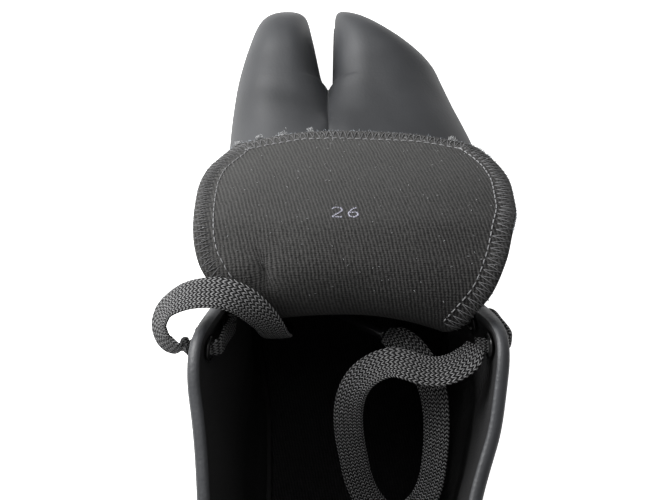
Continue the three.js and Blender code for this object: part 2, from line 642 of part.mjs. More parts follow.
// A polyline cut into equal lengths.
function evenly(line, count) {
  const reach = [0];
  for (let i = 1; i < line.length; i += 1) reach.push(reach[i - 1] + line[i].distanceTo(line[i - 1]));
  const total = reach[line.length - 1];
  return Array.from({ length: count + 1 }, (_, c) => {
    const want = (c / count) * total;
    let i = 1;
    while (i < line.length - 1 && reach[i] < want) i += 1;
    const t = clamp((want - reach[i - 1]) / (reach[i] - reach[i - 1]), 0, 1);
    return line[i - 1].clone().lerp(line[i], t);
  });
}

// The top edge of one quarter: up the eyestay, round the flap's corner and along the collar.
const EDGE_FINE = 120;
const COLLAR_POWER = 2.3;
const COLLAR_RISE_POWER = 1.6;
function edgeLine(side) {
  const sign = TOES[side].sign;
  const last = vampStations.length - 1;
  const foot = vampPoint(side, AT.vamp[side][last], null, THROAT_BASE, 1, QUARTER_ROWS, false);
  const halfAt = (y) =>
    COLLAR_HALF * read(COLLAR, "along", side, (y - COLLAR_BACK) / (COLLAR_FRONT - COLLAR_BACK));
  const corner = new THREE.Vector3(
    sign * halfAt(COLLAR_FRONT), COLLAR_FRONT - HEEL_REST, COLLAR_FRONT_HEIGHT,
  );
  const flap = Array.from({ length: EDGE_FINE + 1 }, (_, i) => foot.clone().lerp(corner, i / EDGE_FINE));
  const collar = Array.from({ length: EDGE_FINE + 1 }, (_, i) => {
    const turn = (i / EDGE_FINE) * (Math.PI / 2);
    const y = mix(COLLAR_BACK, COLLAR_FRONT, 1 - Math.sin(turn));
    const back = clamp((COLLAR_MID - y) / (COLLAR_MID - COLLAR_BACK), 0, 1);
    const x = sign * halfAt(y) * (1 - back ** COLLAR_POWER) ** (1 / COLLAR_POWER);
    const up = ((y - COLLAR_BACK) / (COLLAR_FRONT - COLLAR_BACK)) ** COLLAR_RISE_POWER;
    return new THREE.Vector3(x, y - HEEL_REST, mix(COLLAR_BACK_HEIGHT, COLLAR_FRONT_HEIGHT, up));
  });
  const columns = Math.round(BACK_COLUMNS * FLAP_SHARE);
  const rough = [...evenly(flap, EDGE_FINE).slice(0, -1), ...evenly(collar, EDGE_FINE)];
  const smooth = rough.map((p, i) => {
    const span = Math.min(CORNER_ROUND, i, rough.length - 1 - i);
    const sum = new THREE.Vector3();
    for (let k = -span; k <= span; k += 1) sum.add(rough[i + k]);
    return sum.divideScalar(2 * span + 1);
  });
  return [
    ...evenly(smooth.slice(0, EDGE_FINE + 1), columns).slice(0, -1),
    ...evenly(smooth.slice(EDGE_FINE), BACK_COLUMNS - columns),
  ];
}

const HEEL_SHARE = { from: 0.72 };
const FRONT_SHARE = { from: 0.4, to: 0.7 };

// One quarter as columns from the throat's foot to the heel's back, rows from feather to edge.
function quarterGrid(side) {
  const edge = edgeLine(side);
  const last = vampStations.length - 1;
  const arch = Array.from({ length: QUARTER_ROWS + 1 }, (_, i) =>
    vampPoint(side, AT.vamp[side][last], null, THROAT_BASE, 1, i, false),
  );
  const run = arch[QUARTER_ROWS].clone().sub(arch[0]);
  return edge.map((top, c) => {
    const index = AT.back[side][c];
    const foot = place(OUTLINE[index], skirtTop(OUTLINE[index].y));
    const out = outwardOf(OUTLINE, index);
    const share = c / BACK_COLUMNS;
    const arched = 1 - ease(share / ARCH_FADE);
    const heel = ease((share - HEEL_SHARE.from) / (1 - HEEL_SHARE.from));
    const front = 1 - ease((share - FRONT_SHARE.from) / (FRONT_SHARE.to - FRONT_SHARE.from));
    return arch.map((p, i) => {
      const t = i / QUARTER_ROWS;
      const across = mix(t, (p.x - arch[0].x) / run.x, arched);
      const up = mix(t, (p.z - arch[0].z) / run.z, arched);
      const side0 = read(SHAFT, "up", "side", t) * (1 - heel) * (1 - front);
      const swell = side0 + read(SHAFT, "up", "heel", t) * heel + read(SHAFT, "up", "front", t) * front;
      const stand = swell * (HEEL_WIDTH / 2) * (1 - arched);
      const z = mix(foot.z, top.z, up);
      const fold = tuck(index, z - foot.z);
      return new THREE.Vector3(
        mix(foot.x, top.x, across) + out.x * stand + fold.x,
        mix(foot.y, top.y, up) + out.y * stand + fold.y,
        z,
      );
    });
  });
}

// Thickens a sheet inward to a closed wall. Vertices in fixed keep the inner place given there.
function thicken(sheet, wall, fixed = new Map()) {
  const normals = sheet.points.map(() => new THREE.Vector3());
  for (const [a, b, c] of sheet.faces) {
    const ab = sheet.points[b].clone().sub(sheet.points[a]);
    const ac = sheet.points[c].clone().sub(sheet.points[a]);
    const normal = ab.cross(ac);
    for (const v of [a, b, c]) normals[v].add(normal);
  }
  const body = new Body();
  body.points = sheet.points.map((p) => p.clone());
  body.faces = sheet.faces.map((f) => [...f]);
  const count = sheet.points.length;
  sheet.points.forEach((p, i) => {
    const inner = fixed.get(i) ?? p.clone().addScaledVector(normals[i].normalize(), -wall);
    body.point(inner);
  });
  for (const [a, b, c] of sheet.faces) body.faces.push([c + count, b + count, a + count]);
  const used = new Set(sheet.faces.flatMap(([a, b, c]) => [`${a},${b}`, `${b},${c}`, `${c},${a}`]));
  for (const edge of used) {
    const [a, b] = edge.split(",").map(Number);
    if (!used.has(`${b},${a}`)) body.quad(b, a, a + count, b + count);
  }
  return body;
}

// The upper's outer sheet: two half vamps that part at the split, the two quarters and the skirt that
// stands inside the rim. Returns it with the quarters' grids of vertices.
function upperSheet() {
  const sheet = new Body();
  const known = new Map();
  const join = (v) => {
    const key = [v.x, v.y, v.z].map((n) => Math.round(n * 1000)).join(",");
    if (!known.has(key)) known.set(key, sheet.point(v));
    return known.get(key);
  };
  const foot = new Map();
  const grids = {};
  for (const side of ["lateral", "medial"]) {
    const columns = [];
    for (let j = TOE_STATIONS; j >= 0; j -= 1) {
      const outer = AT.toe[side][j];
      const inner = AT.cleft[side][j];
      const y = OUTLINE[outer].y;
      const column = [];
      for (let i = 0; i <= HALF_ROWS; i += 1) column.push(join(vampPoint(side, outer, inner, y, 0, i)));
      foot.set(outer, column[0]);
      foot.set(inner, column[HALF_ROWS]);
      columns.push(column);
    }
    for (let s = 1; s < vampStations.length; s += 1) {
      const y = vampStations[s];
      const merge = ((CLEFT_END - y) / (CLEFT_END - THROAT_BASE)) ** VALLEY_POWER;
      const outer = AT.vamp[side][s];
      const column = [];
      for (let i = 0; i <= HALF_ROWS; i += 1) column.push(join(vampPoint(side, outer, null, y, merge, i)));
      foot.set(outer, column[0]);
      columns.push(column);
    }
    const vampEnd = columns.length - 1;
    const quarter = quarterGrid(side).map((column) => column.map((v) => join(v)));
    quarter[0] = columns[vampEnd].slice(0, QUARTER_ROWS + 1);
    grids[side] = quarter;
    quarter.forEach((column, c) => foot.set(AT.back[side][c], column[0]));
    const face = (a, b, c, d) => (side === "lateral" ? sheet.quad(a, b, c, d) : sheet.quad(d, c, b, a));
    for (const grid of [columns, quarter]) {
      for (let s = 0; s + 1 < grid.length; s += 1) {
        for (let i = 0; i + 1 < grid[s].length; i += 1) {
          face(grid[s][i], grid[s][i + 1], grid[s + 1][i + 1], grid[s + 1][i]);
        }
      }
    }
  }
  const fixed = new Map();
  const lower = FEATHER.map((p) => sheet.point(place(p, cupFloor(p.y) + CLEAR)));
  const upper = OUTLINE.map((_, i) => foot.get(i));
  wallBetween(sheet, lower, upper);
  FEATHER_INSIDE.forEach((p, i) => {
    fixed.set(lower[i], place(p, sheet.points[lower[i]].z));
    fixed.set(upper[i], place(p, sheet.points[upper[i]].z));
  });
  return { sheet, fixed, grids };
}

const { sheet: SHEET, fixed: SHEET_FIXED, grids: GRIDS } = upperSheet();

// A place on a flap: reach along the eyestay's edge from the throat's foot, then square in from it.
const FLAP_COLUMNS = Math.round(BACK_COLUMNS * FLAP_SHARE);
const PAST_CORNER = 3;
const FLAPS = Object.fromEntries(
  Object.entries(GRIDS).map(([side, grid]) => [
    side,
    grid.slice(0, FLAP_COLUMNS + PAST_CORNER + 1).map((column) => column.map((v) => SHEET.points[v]).reverse()),
  ]),
);

function downColumn(column, depth) {
  let left = depth;
  for (let i = 0; i + 1 < column.length; i += 1) {
    const step = column[i].distanceTo(column[i + 1]);
    if (left <= step) return column[i].clone().lerp(column[i + 1], left / step);
    left -= step;
  }
  return column[column.length - 1].clone();
}

function flapPoint(side, reach, depth) {
  const columns = FLAPS[side];
  let left = reach;
  let c = 0;
  while (c < columns.length - 2 && left > columns[c][0].distanceTo(columns[c + 1][0])) {
    left -= columns[c][0].distanceTo(columns[c + 1][0]);
    c += 1;
  }
  const share = left / columns[c][0].distanceTo(columns[c + 1][0]);
  return downColumn(columns[c], depth).lerp(downColumn(columns[c + 1], depth), share);
}

function onFlap(side, reach, depth) {
  const probe = EYELET_FLANGE;
  const edge = flapPoint(side, reach, 0);
  const along = flapPoint(side, reach + 1, 0).sub(edge).normalize();
  const down = flapPoint(side, reach, depth).sub(edge).normalize();
  const lean = down.dot(along);
  const square = Math.sqrt(1 - lean * lean);
  const column = reach - (depth * lean) / square;
  const drop = depth / square;
  const fore = flapPoint(side, column + probe, drop).sub(flapPoint(side, column - probe, drop));
  const fall = flapPoint(side, column, drop + probe).sub(flapPoint(side, column, Math.max(0, drop - probe)));
  const normal = fall.cross(fore).normalize().multiplyScalar(side === "lateral" ? -1 : 1);
  return { point: flapPoint(side, column, drop), normal };
}

function edgeReach(side) {
  const columns = FLAPS[side];
  let total = 0;
  for (let c = 0; c < FLAP_COLUMNS; c += 1) total += columns[c][0].distanceTo(columns[c + 1][0]);
  return total;
}

const FIRST_EYELET = 0.075; // share of the eyestay's edge
const LAST_EYELET = 0.91;
function eyeletPlace(side, pair) {
  const share = mix(FIRST_EYELET, LAST_EYELET, pair / (EYELET_PAIRS - 1));
  return onFlap(side, share * edgeReach(side), EYELET_INSET);
}

const EYELET_SIDES = 8;
function turned(geometry, { point, normal }) {
  const turn = new THREE.Quaternion().setFromUnitVectors(new THREE.Vector3(0, 1, 0), normal);
  return geometry.applyQuaternion(turn).translate(point.x, point.y, point.z);
}

// An eyelet's barrel with its plate on the outside and its rolled edge on the inside.
const EYELET_STAND = WALL / 2 + 3 * CLEAR;
function makeEyelet(place) {
  const barrel = EYELET_HOLE + EYELET_BARREL;
  const roll = barrel + EYELET_BARREL * 2;
  const profile = [
    [EYELET_HOLE, -EYELET_STAND - EYELET_PLATE],
    [roll, -EYELET_STAND - EYELET_PLATE],
    [roll, -EYELET_STAND],
    [barrel, -EYELET_STAND],
    [barrel, EYELET_STAND],
    [EYELET_FLANGE, EYELET_STAND],
    [EYELET_HOLE, EYELET_STAND + EYELET_PLATE],
    [EYELET_HOLE, -EYELET_STAND - EYELET_PLATE],
  ].map(([r, h]) => new THREE.Vector2(r, h));
  const middle = place.point.clone().addScaledVector(place.normal, -WALL / 2);
  return turned(new THREE.LatheGeometry(profile, EYELET_SIDES), { point: middle, normal: place.normal });
}

function makeUpper() {
  let made = solid(thicken(SHEET, WALL, SHEET_FIXED).geometry());
  for (const side of ["medial", "lateral"]) {
    for (let pair = 0; pair < EYELET_PAIRS; pair += 1) {
      const radius = EYELET_HOLE + EYELET_BARREL + CLEAR;
      const punch = new THREE.CylinderGeometry(radius, radius, WALL * 4, EYELET_SIDES);
      made = made.subtract(solid(turned(punch, eyeletPlace(side, pair))));
    }
  }
  return fromSolid(made);
}

const INSOLE_INSET = RIM + WALL + 6 * CLEAR;
const makeInsole = () =>
  platform([
    { by: INSOLE_INSET, height: (y) => cupFloor(y) + 2 * CLEAR },
    { by: INSOLE_INSET, height: (y) => cupFloor(y) + INSOLE_THICKNESS * 0.7 },
    { by: INSOLE_INSET + 3 * CLEAR, height: (y) => cupFloor(y) + INSOLE_THICKNESS },
  ]);

function makeTongue() {
  const run = THROAT_BASE - COLLAR_FRONT;
  const rise = COLLAR_FRONT_HEIGHT - THROAT_HEIGHT;
  const line = TONGUE.map(({ y, z }) =>
    new THREE.Vector2(THROAT_BASE - y * run - HEEL_REST, THROAT_HEIGHT + z * rise),
  );
  const sheet = new Body();
  const rows = TONGUE.map(({ medial, lateral, curlIn, curlOut, sag }, r) => {
    const before = line[Math.max(0, r - 1)];
    const after = line[Math.min(line.length - 1, r + 1)];
    const ahead = after.clone().sub(before).normalize();
    const row = [];
    for (let k = 0; k <= TONGUE_COLUMNS; k += 1) {
      const u = (2 * k) / TONGUE_COLUMNS - 1;
      const half = TONGUE_HALF * (u < 0 ? medial : lateral);
      const lean = TONGUE_HALF * (u < 0 ? curlIn : curlOut) * u * u - TONGUE_THICKNESS / 2;
      const back = run * sag * u * u;
      const y = line[r].x - ahead.y * lean - ahead.x * back;
      const z = line[r].y + ahead.x * lean - ahead.y * back;
      row.push(sheet.point(new THREE.Vector3(u * half, y, z)));
    }
    return row;
  });
  for (let r = 0; r + 1 < rows.length; r += 1) {
    for (let k = 0; k < TONGUE_COLUMNS; k += 1) {
      sheet.quad(rows[r + 1][k], rows[r + 1][k + 1], rows[r][k + 1], rows[r][k]);
    }
  }
  return thicken(sheet, TONGUE_THICKNESS).geometry();
}

// A flat lace along a smooth line. Its face looks the way that the route's face vectors point.
const LACE_SIDES = 6;
const WIDE_POWER = 0.4; // how square the lace's section is
const HIGH_POWER = 0.6;
function ribbon(route, width, thickness, steps) {
  const line = new THREE.CatmullRomCurve3(route.map(({ at }) => at), false, "centripetal");
  const body = new Body();
  const rings = [];
  for (let i = 0; i <= steps; i += 1) {
    const t = i / steps;
    const at = line.getPoint(t);
    const ahead = line.getTangent(t);
    const along = t * (route.length - 1);
    const k = Math.min(route.length - 2, Math.floor(along));
    const face = route[k].face.clone().lerp(route[k + 1].face, along - k);
    const across = ahead.clone().cross(face).normalize();
    const up = across.clone().cross(ahead).normalize();
    const ring = [];
    for (let n = 0; n < LACE_SIDES; n += 1) {
      const turn = ((n + 0.5) / LACE_SIDES) * 2 * Math.PI;
      const wide = Math.sign(Math.cos(turn)) * Math.abs(Math.cos(turn)) ** WIDE_POWER;
      const high = Math.sign(Math.sin(turn)) * Math.abs(Math.sin(turn)) ** HIGH_POWER;
      const p = at.clone().addScaledVector(across, (wide * width) / 2);
      ring.push(body.point(p.addScaledVector(up, (high * thickness) / 2)));
    }
    rings.push(ring);
  }
  for (let i = 0; i < steps; i += 1) {
    for (let n = 0; n < LACE_SIDES; n += 1) {
      const next = (n + 1) % LACE_SIDES;
      body.quad(rings[i][n], rings[i + 1][n], rings[i + 1][next], rings[i][next]);
    }
  }
  const last = rings[steps];
  for (let n = 1; n + 1 < LACE_SIDES; n += 1) {
    body.triangle(rings[0][0], rings[0][n], rings[0][n + 1]);
    body.triangle(last[0], last[n + 1], last[n]);
  }
  return body.geometry();
}

// Points of the drawn lace: over an eyelet outside, round the edge, and behind the other side's eyelet.
const FACE_STAND = 4 * CLEAR + LACE_THICKNESS / 2;
const OUTSIDE_STAND = 5.5 * CLEAR + EYELET_PLATE + LACE_THICKNESS / 2;
const INSIDE_STAND = WALL + OUTSIDE_STAND;
const EDGE_DEPTH = 2.5;

const stand = ({ point, normal }, by) => ({
  at: point.clone().addScaledVector(normal, by),
  face: normal.clone(),
});
const pairReach = (side, pair) =>
  mix(FIRST_EYELET, LAST_EYELET, pair / (EYELET_PAIRS - 1)) * edgeReach(side);
const atEyelet = (side, pair, by) => stand(eyeletPlace(side, pair), by);
const nearEdge = (side, pair, by) => stand(onFlap(side, pairReach(side, pair), EDGE_DEPTH), by);

function roundEdge(side, pair) {
  const inner = onFlap(side, pairReach(side, pair), EDGE_DEPTH);
  const edge = flapPoint(side, pairReach(side, pair), 0);
  const outward = edge.clone().sub(inner.point).normalize();
  const at = edge.addScaledVector(outward, FACE_STAND + 2 * CLEAR);
  return { at, face: outward.add(inner.normal).normalize() };
}

const CROSS_STEPS = 9;
const OVER_EDGE = 0.12; // places along the edge from the eyelet that the lace leaves, in pairs
const ROUND_EDGE = 0.2;
const LANDING = 0.86;
const OVER_SHARE = 0.6; // of the lace's thickness, by which one arm lies over the other
const CROSS_LIFT = 0.6; // the crossing stands out of the line between the edges
const THROAT_FACE = new THREE.Vector3(0, COLLAR_FRONT_HEIGHT - THROAT_HEIGHT, THROAT_BASE - COLLAR_FRONT);
THROAT_FACE.normalize();
function crossArm(from, to, pair, over) {
  const start = atEyelet(from, pair, OUTSIDE_STAND);
  const edge = nearEdge(from, pair + OVER_EDGE, FACE_STAND);
  const bend = roundEdge(from, pair + ROUND_EDGE);
  const landing = nearEdge(to, pair + LANDING, -INSIDE_STAND);
  const end = atEyelet(to, pair + 1, -INSIDE_STAND);
  const middle = bend.at.clone().lerp(landing.at, 0.5).addScaledVector(THROAT_FACE, CROSS_LIFT + over);
  const route = [start, edge, bend, { at: middle, face: THROAT_FACE }, landing, end];
  return ribbon(route, LACE_DRAWN, LACE_THICKNESS, CROSS_STEPS);
}

function laceCross(pair) {
  const one = solid(crossArm("medial", "lateral", pair, 0));
  const two = solid(crossArm("lateral", "medial", pair, LACE_THICKNESS * OVER_SHARE));
  return fromSolid(one.add(two));
}

// The lace's middle lies behind the first pair and comes out through it.
const BAR_RISE = 3.2; // over the tongue's middle
function laceBar() {
  const middle = nearEdge("medial", 0, -INSIDE_STAND).at.lerp(nearEdge("lateral", 0, -INSIDE_STAND).at, 0.5);
  const route = [
    atEyelet("medial", 0, -INSIDE_STAND),
    nearEdge("medial", 0, -INSIDE_STAND),
    { at: middle.addScaledVector(THROAT_FACE, BAR_RISE), face: THROAT_FACE },
    nearEdge("lateral", 0, -INSIDE_STAND),
    atEyelet("lateral", 0, -INSIDE_STAND),
  ];
  return ribbon(route, LACE_DRAWN, LACE_THICKNESS, CROSS_STEPS);
}

// The lace's last steps: up the inside of the inner flap and up the outside of the outer flap.
const PAIR_SPACING = 16; // about the distance from eyelet to eyelet
const RUN_START = (LACE_DRAWN + 2 * CLEAR) / PAIR_SPACING;
const RUN_MIDDLE = 0.7;
const RUN_STEPS = 4;
function laceRun(side, by) {
  const pair = EYELET_PAIRS - 2;
  const places = [RUN_START, RUN_MIDDLE, 1].map((at) => atEyelet(side, pair + at, by));
  return ribbon(places, LACE_DRAWN, LACE_THICKNESS, RUN_STEPS);
}

function looseEnd(route) {
  const points = route.map(({ at, face }) => ({
    at: new THREE.Vector3(...at),
    face: new THREE.Vector3(...face).normalize(),
  }));
  const length = new THREE.CatmullRomCurve3(points.map(({ at }) => at), false, "centripetal").getLength();
  return ribbon(points, LACE_WIDTH, LACE_THICKNESS, Math.round(length / LACE_STEP));
}

// The stiff tip on a lace's end, just past the lace and in line with it.
const AGLET_TAPER = 0.8;
function makeAglet(route) {
  const end = new THREE.Vector3(...route[route.length - 1].at);
  const before = new THREE.Vector3(...route[route.length - 2].at);
  const ahead = end.clone().sub(before).normalize();
  const point = end.clone().addScaledVector(ahead, AGLET_LENGTH / 2 + CLEAR);
  const tip = new THREE.CylinderGeometry(AGLET_RADIUS * AGLET_TAPER, AGLET_RADIUS, AGLET_LENGTH, LACE_SIDES);
  return turned(tip, { point, normal: ahead });
}

const shoe = new THREE.Group();
shoe.add(named("sole", makeSole(), BLACK_RUBBER));
shoe.add(named("insole", makeInsole(), BLACK_FOAM));
shoe.add(named("upper", makeUpper(), BLACK_LEATHER));
shoe.add(named("tongue", makeTongue(), BLACK_TWILL));
for (const side of ["medial", "lateral"]) {
  for (let pair = 0; pair < EYELET_PAIRS; pair += 1) {
    const eyelet = makeEyelet(eyeletPlace(side, pair));
    shoe.add(named(`eyelet_${side}_${pair + 1}`, eyelet, BLACK_ENAMEL));
  }
}
shoe.add(named("lace_bar", laceBar(), BLACK_KNIT));
for (let pair = 0; pair < EYELET_PAIRS - 2; pair += 1) {
  shoe.add(named(`lace_cross_${pair + 1}`, laceCross(pair), BLACK_KNIT));
}
shoe.add(named("lace_run_medial", laceRun("medial", -INSIDE_STAND), BLACK_KNIT));
shoe.add(named("lace_run_lateral", laceRun("lateral", OUTSIDE_STAND), BLACK_KNIT));
shoe.add(named("lace_end_left", looseEnd(LACE_LEFT), BLACK_KNIT));
shoe.add(named("lace_end_right", looseEnd(LACE_RIGHT), BLACK_KNIT));
shoe.add(named("aglet_left", makeAglet(LACE_LEFT), BLACK_FILM));
shoe.add(named("aglet_right", makeAglet(LACE_RIGHT), BLACK_FILM));

export default shoe;
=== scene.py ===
# %% [markdown]
# # A high-top tabi sneaker
#
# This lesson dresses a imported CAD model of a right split-toe high-top. The CAD says where each piece lies
# and what size it has. Here each soft piece is modelled again at a finer step from the same named sizes,
# and gets its stitching, weave and finish. A finer mesh of our own is used, not a smoothed copy of the
# CAD, because a smoothed copy would round off the eyelet holes and the rim. Lengths in the tables are
# millimetres, and Blender's are metres, so `MM` turns one into the other.

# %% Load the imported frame
import math
import random

import bpy
import numpy as np
from mathutils import Matrix, Vector


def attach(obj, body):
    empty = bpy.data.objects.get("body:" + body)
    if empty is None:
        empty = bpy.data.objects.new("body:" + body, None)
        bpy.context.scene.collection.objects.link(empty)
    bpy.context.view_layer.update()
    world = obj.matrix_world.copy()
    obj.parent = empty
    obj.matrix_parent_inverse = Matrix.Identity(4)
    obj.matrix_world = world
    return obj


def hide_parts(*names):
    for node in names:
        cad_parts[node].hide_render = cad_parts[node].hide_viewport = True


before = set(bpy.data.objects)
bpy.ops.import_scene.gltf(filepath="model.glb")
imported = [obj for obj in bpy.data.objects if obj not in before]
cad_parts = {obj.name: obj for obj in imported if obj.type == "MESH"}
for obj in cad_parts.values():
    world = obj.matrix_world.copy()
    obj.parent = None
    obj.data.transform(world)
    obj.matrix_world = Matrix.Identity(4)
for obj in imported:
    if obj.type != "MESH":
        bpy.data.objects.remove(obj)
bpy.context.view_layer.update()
MM = 0.001

# %% [markdown]
# ## Named sizes
#
# A shoe is built on a last, and a last is described by a few sizes: length, ball and heel width, toe and
# instep height, collar height. They could be typed where they are used, but then no change would reach
# every piece. So they stand here once, with `y` measured from the heel's back. Forms that no formula
# gives, such as the plan or the folded tongue, are short tables of shares of those sizes.

# %% Sizes and tables
LENGTH = 282
BALL_WIDTH = 104
HEEL_WIDTH = 70
HEEL_REST = 35
CLEFT_DEPTH = 37
CLEFT_END_GAP = 3.4
TOE_HEIGHT = 38
THROAT_HEIGHT = 73
THROAT_BASE = 178
THROAT_HALF_GAP = 16
COLLAR_FRONT = 110
COLLAR_FRONT_HEIGHT = 165
COLLAR_HALF = 48
COLLAR_MID = 64
COLLAR_BACK = 13
COLLAR_BACK_HEIGHT = 150
CORNER_ROUND = 12

WALL = 2.2
CLEAR = 0.3
RIM = 2.4
HEEL_FLOOR = 13
TOE_FLOOR = 6
RIM_ABOVE_FLOOR = 8
TOE_SPRING = 6
HEEL_BEVEL = 2.5
ARCH_LIFT = 2.6
STEP_HEIGHT = 4.2
STEP_DEPTH = 0.9
TUCK = 1.6
INSOLE_THICKNESS = 3.4
TONGUE_THICKNESS = 3
TONGUE_HALF = 45

EYELET_PAIRS = 7
EYELET_HOLE = 2.3
EYELET_BARREL = 0.55
EYELET_FLANGE = 4.3
EYELET_PLATE = 0.7
EYELET_INSET = 9
LACE_WIDTH = 9
LACE_THICKNESS = 1.5
LACE_DRAWN = 7
AGLET_LENGTH = 22
AGLET_RADIUS = 1.9


def table(names, *rows):
    """A table as lists by column name."""
    return {name: [row[i] for row in rows] for i, name in enumerate(names.split())}


PLAN = table(
    "along medial lateral",
    (0.0, 0.48, 0.49), (0.12, 0.494, 0.503), (0.21, 0.488, 0.514), (0.315, 0.442, 0.506),
    (0.42, 0.4, 0.494), (0.525, 0.399, 0.502), (0.61, 0.418, 0.532), (0.68, 0.441, 0.56),
    (0.725, 0.446, 0.567), (0.775, 0.438, 0.54), (0.81, 0.431, 0.5), (0.84, 0.422, 0.461),
    (0.875, 0.408, 0.42), (0.905, 0.389, 0.386), (0.95, 0.35, 0.327), (1.0, 0.303, 0.257),
)
PLAN_HEEL_SHARE = 0.2
PLAN_BALL_SHARE = 0.65
HEEL_ROUND = {"length": 0.122, "power": 2.2, "root": 0.455}
TOES = {
    "medial": {
        "sign": -1, "tip": -0.2, "short": 0.003, "wall": -0.058, "slope": -0.0019,
        "outer": {"reach": 0.049, "power": 3, "root": 0.333},
        "inner": {"reach": 0.028, "power": 3, "root": 0.333},
    },
    "lateral": {
        "sign": 1, "tip": 0.024, "short": 0.001, "wall": -0.026, "slope": 0.0002,
        "outer": {"reach": 0.108, "power": 2.05, "root": 0.98},
        "inner": {"reach": 0.016, "power": 2.2, "root": 0.455},
    },
}
CLEFT_X = -0.042
CLEFT_ROUND = 1.6
RIDGE = table(
    "at toe climb",
    (0.0, 1.0, 1.0), (0.112, 1.0, 0.73), (0.205, 1.0, 0.53), (0.341, 1.0, 0.3), (0.484, 1.0, 0.14),
    (0.62, 0.985, 0.045), (0.772, 0.94, 0), (0.84, 0.885, 0), (0.9, 0.785, 0), (0.935, 0.69, 0),
    (0.965, 0.56, 0), (0.985, 0.465, 0), (1.0, 0.41, 0),
)
ARCH_POWER = 2.25
ARCH_HEIGHT_POWER = 2.1
VALLEY_POWER = 0.42
APEX = {"medial": 0.46, "lateral": 0.36}
TIP_APEX = 0.5
SHAFT = table(
    "up heel side front",
    (0.0, 0.0, 0.0, 0.0), (0.1, 0.06, 0.01, 0.02), (0.2, 0.1, 0.01, 0.03), (0.32, 0.1, -0.035, 0.0),
    (0.45, 0.055, -0.07, -0.04), (0.6, -0.01, -0.06, -0.06), (0.75, -0.045, -0.04, -0.05),
    (0.88, -0.03, -0.015, -0.025), (1.0, 0.0, 0.0, 0.0),
)
COLLAR = table(
    "along medial lateral",
    (0.0, 0.885, 0.785), (0.526, 0.885, 0.785), (0.608, 0.895, 0.865), (0.67, 0.905, 0.92),
    (0.76, 0.92, 0.95), (0.866, 0.955, 0.97), (0.93, 0.985, 0.995), (1.0, 0.93, 1.02),
)
FLAP_SHARE = 0.46
ARCH_FADE = 0.5
TONGUE = table(
    "y z medial lateral curl_in curl_out sag",
    (-0.118, -0.1225, 0.42, 0.42, 0.12, 0.12, 0), (0.03, -0.105, 0.45, 0.45, 0.15, 0.15, 0),
    (0.175, 0.01, 0.5, 0.5, 0.16, 0.16, 0), (0.37, 0.24, 0.54, 0.54, 0.18, 0.18, 0),
    (0.535, 0.417, 0.58, 0.58, 0.16, 0.17, 0), (0.67, 0.562, 0.61, 0.61, 0.12, 0.15, 0),
    (0.775, 0.69, 0.61, 0.65, 0.08, 0.14, 0), (0.845, 0.795, 0.64, 0.7, 0.05, 0.13, 0),
    (0.868, 0.895, 0.68, 0.77, 0.02, 0.12, 0), (0.828, 0.972, 0.81, 0.93, -0.03, 0.08, 0),
    (0.725, 1.01, 0.92, 1.03, -0.05, 0.02, 0), (0.57, 0.985, 0.98, 1.09, -0.03, -0.02, 0),
    (0.42, 0.915, 0.99, 1.14, -0.03, -0.03, 0.005), (0.27, 0.825, 0.985, 1.14, -0.03, -0.03, 0.03),
    (0.12, 0.72, 0.945, 1.1, -0.03, -0.03, 0.06), (0.01, 0.641, 0.87, 1.04, -0.03, -0.03, 0.095),
    (-0.068, 0.58, 0.8, 0.975, -0.03, -0.03, 0.12), (-0.112, 0.547, 0.767, 0.923, -0.03, -0.03, 0.125),
)
LACE_LEFT = [
    ((-45.5, 73.6, 150.1), (-0.95, -0.25, 0.1)), ((-50, 72.9, 151.6), (-0.8, -0.4, 0.4)),
    ((-53.4, 76, 153.6), (-0.8, -0.1, 0.6)), ((-53.8, 80, 156.4), (-0.7, 0.15, 0.7)),
    ((-51.2, 83.3, 160), (-0.45, 0.35, 0.85)), ((-46.6, 84.9, 164.2), (-0.3, 0.2, 0.95)),
    ((-41, 85.2, 167.8), (-0.1, 0.05, 1)), ((-35, 84.6, 169.6), (0, -0.1, 1)),
    ((-29.4, 82.8, 168.8), (0.1, -0.4, 0.9)), ((-25, 80, 165.4), (0.1, -0.75, 0.65)),
    ((-22.2, 77.8, 160), (0, -0.95, 0.3)), ((-20.8, 76.8, 153.4), (-0.1, -1, 0.1)),
    ((-20, 77.4, 146.6), (0, -1, 0)), ((-19.4, 79.6, 140), (0, -1, -0.1)),
]
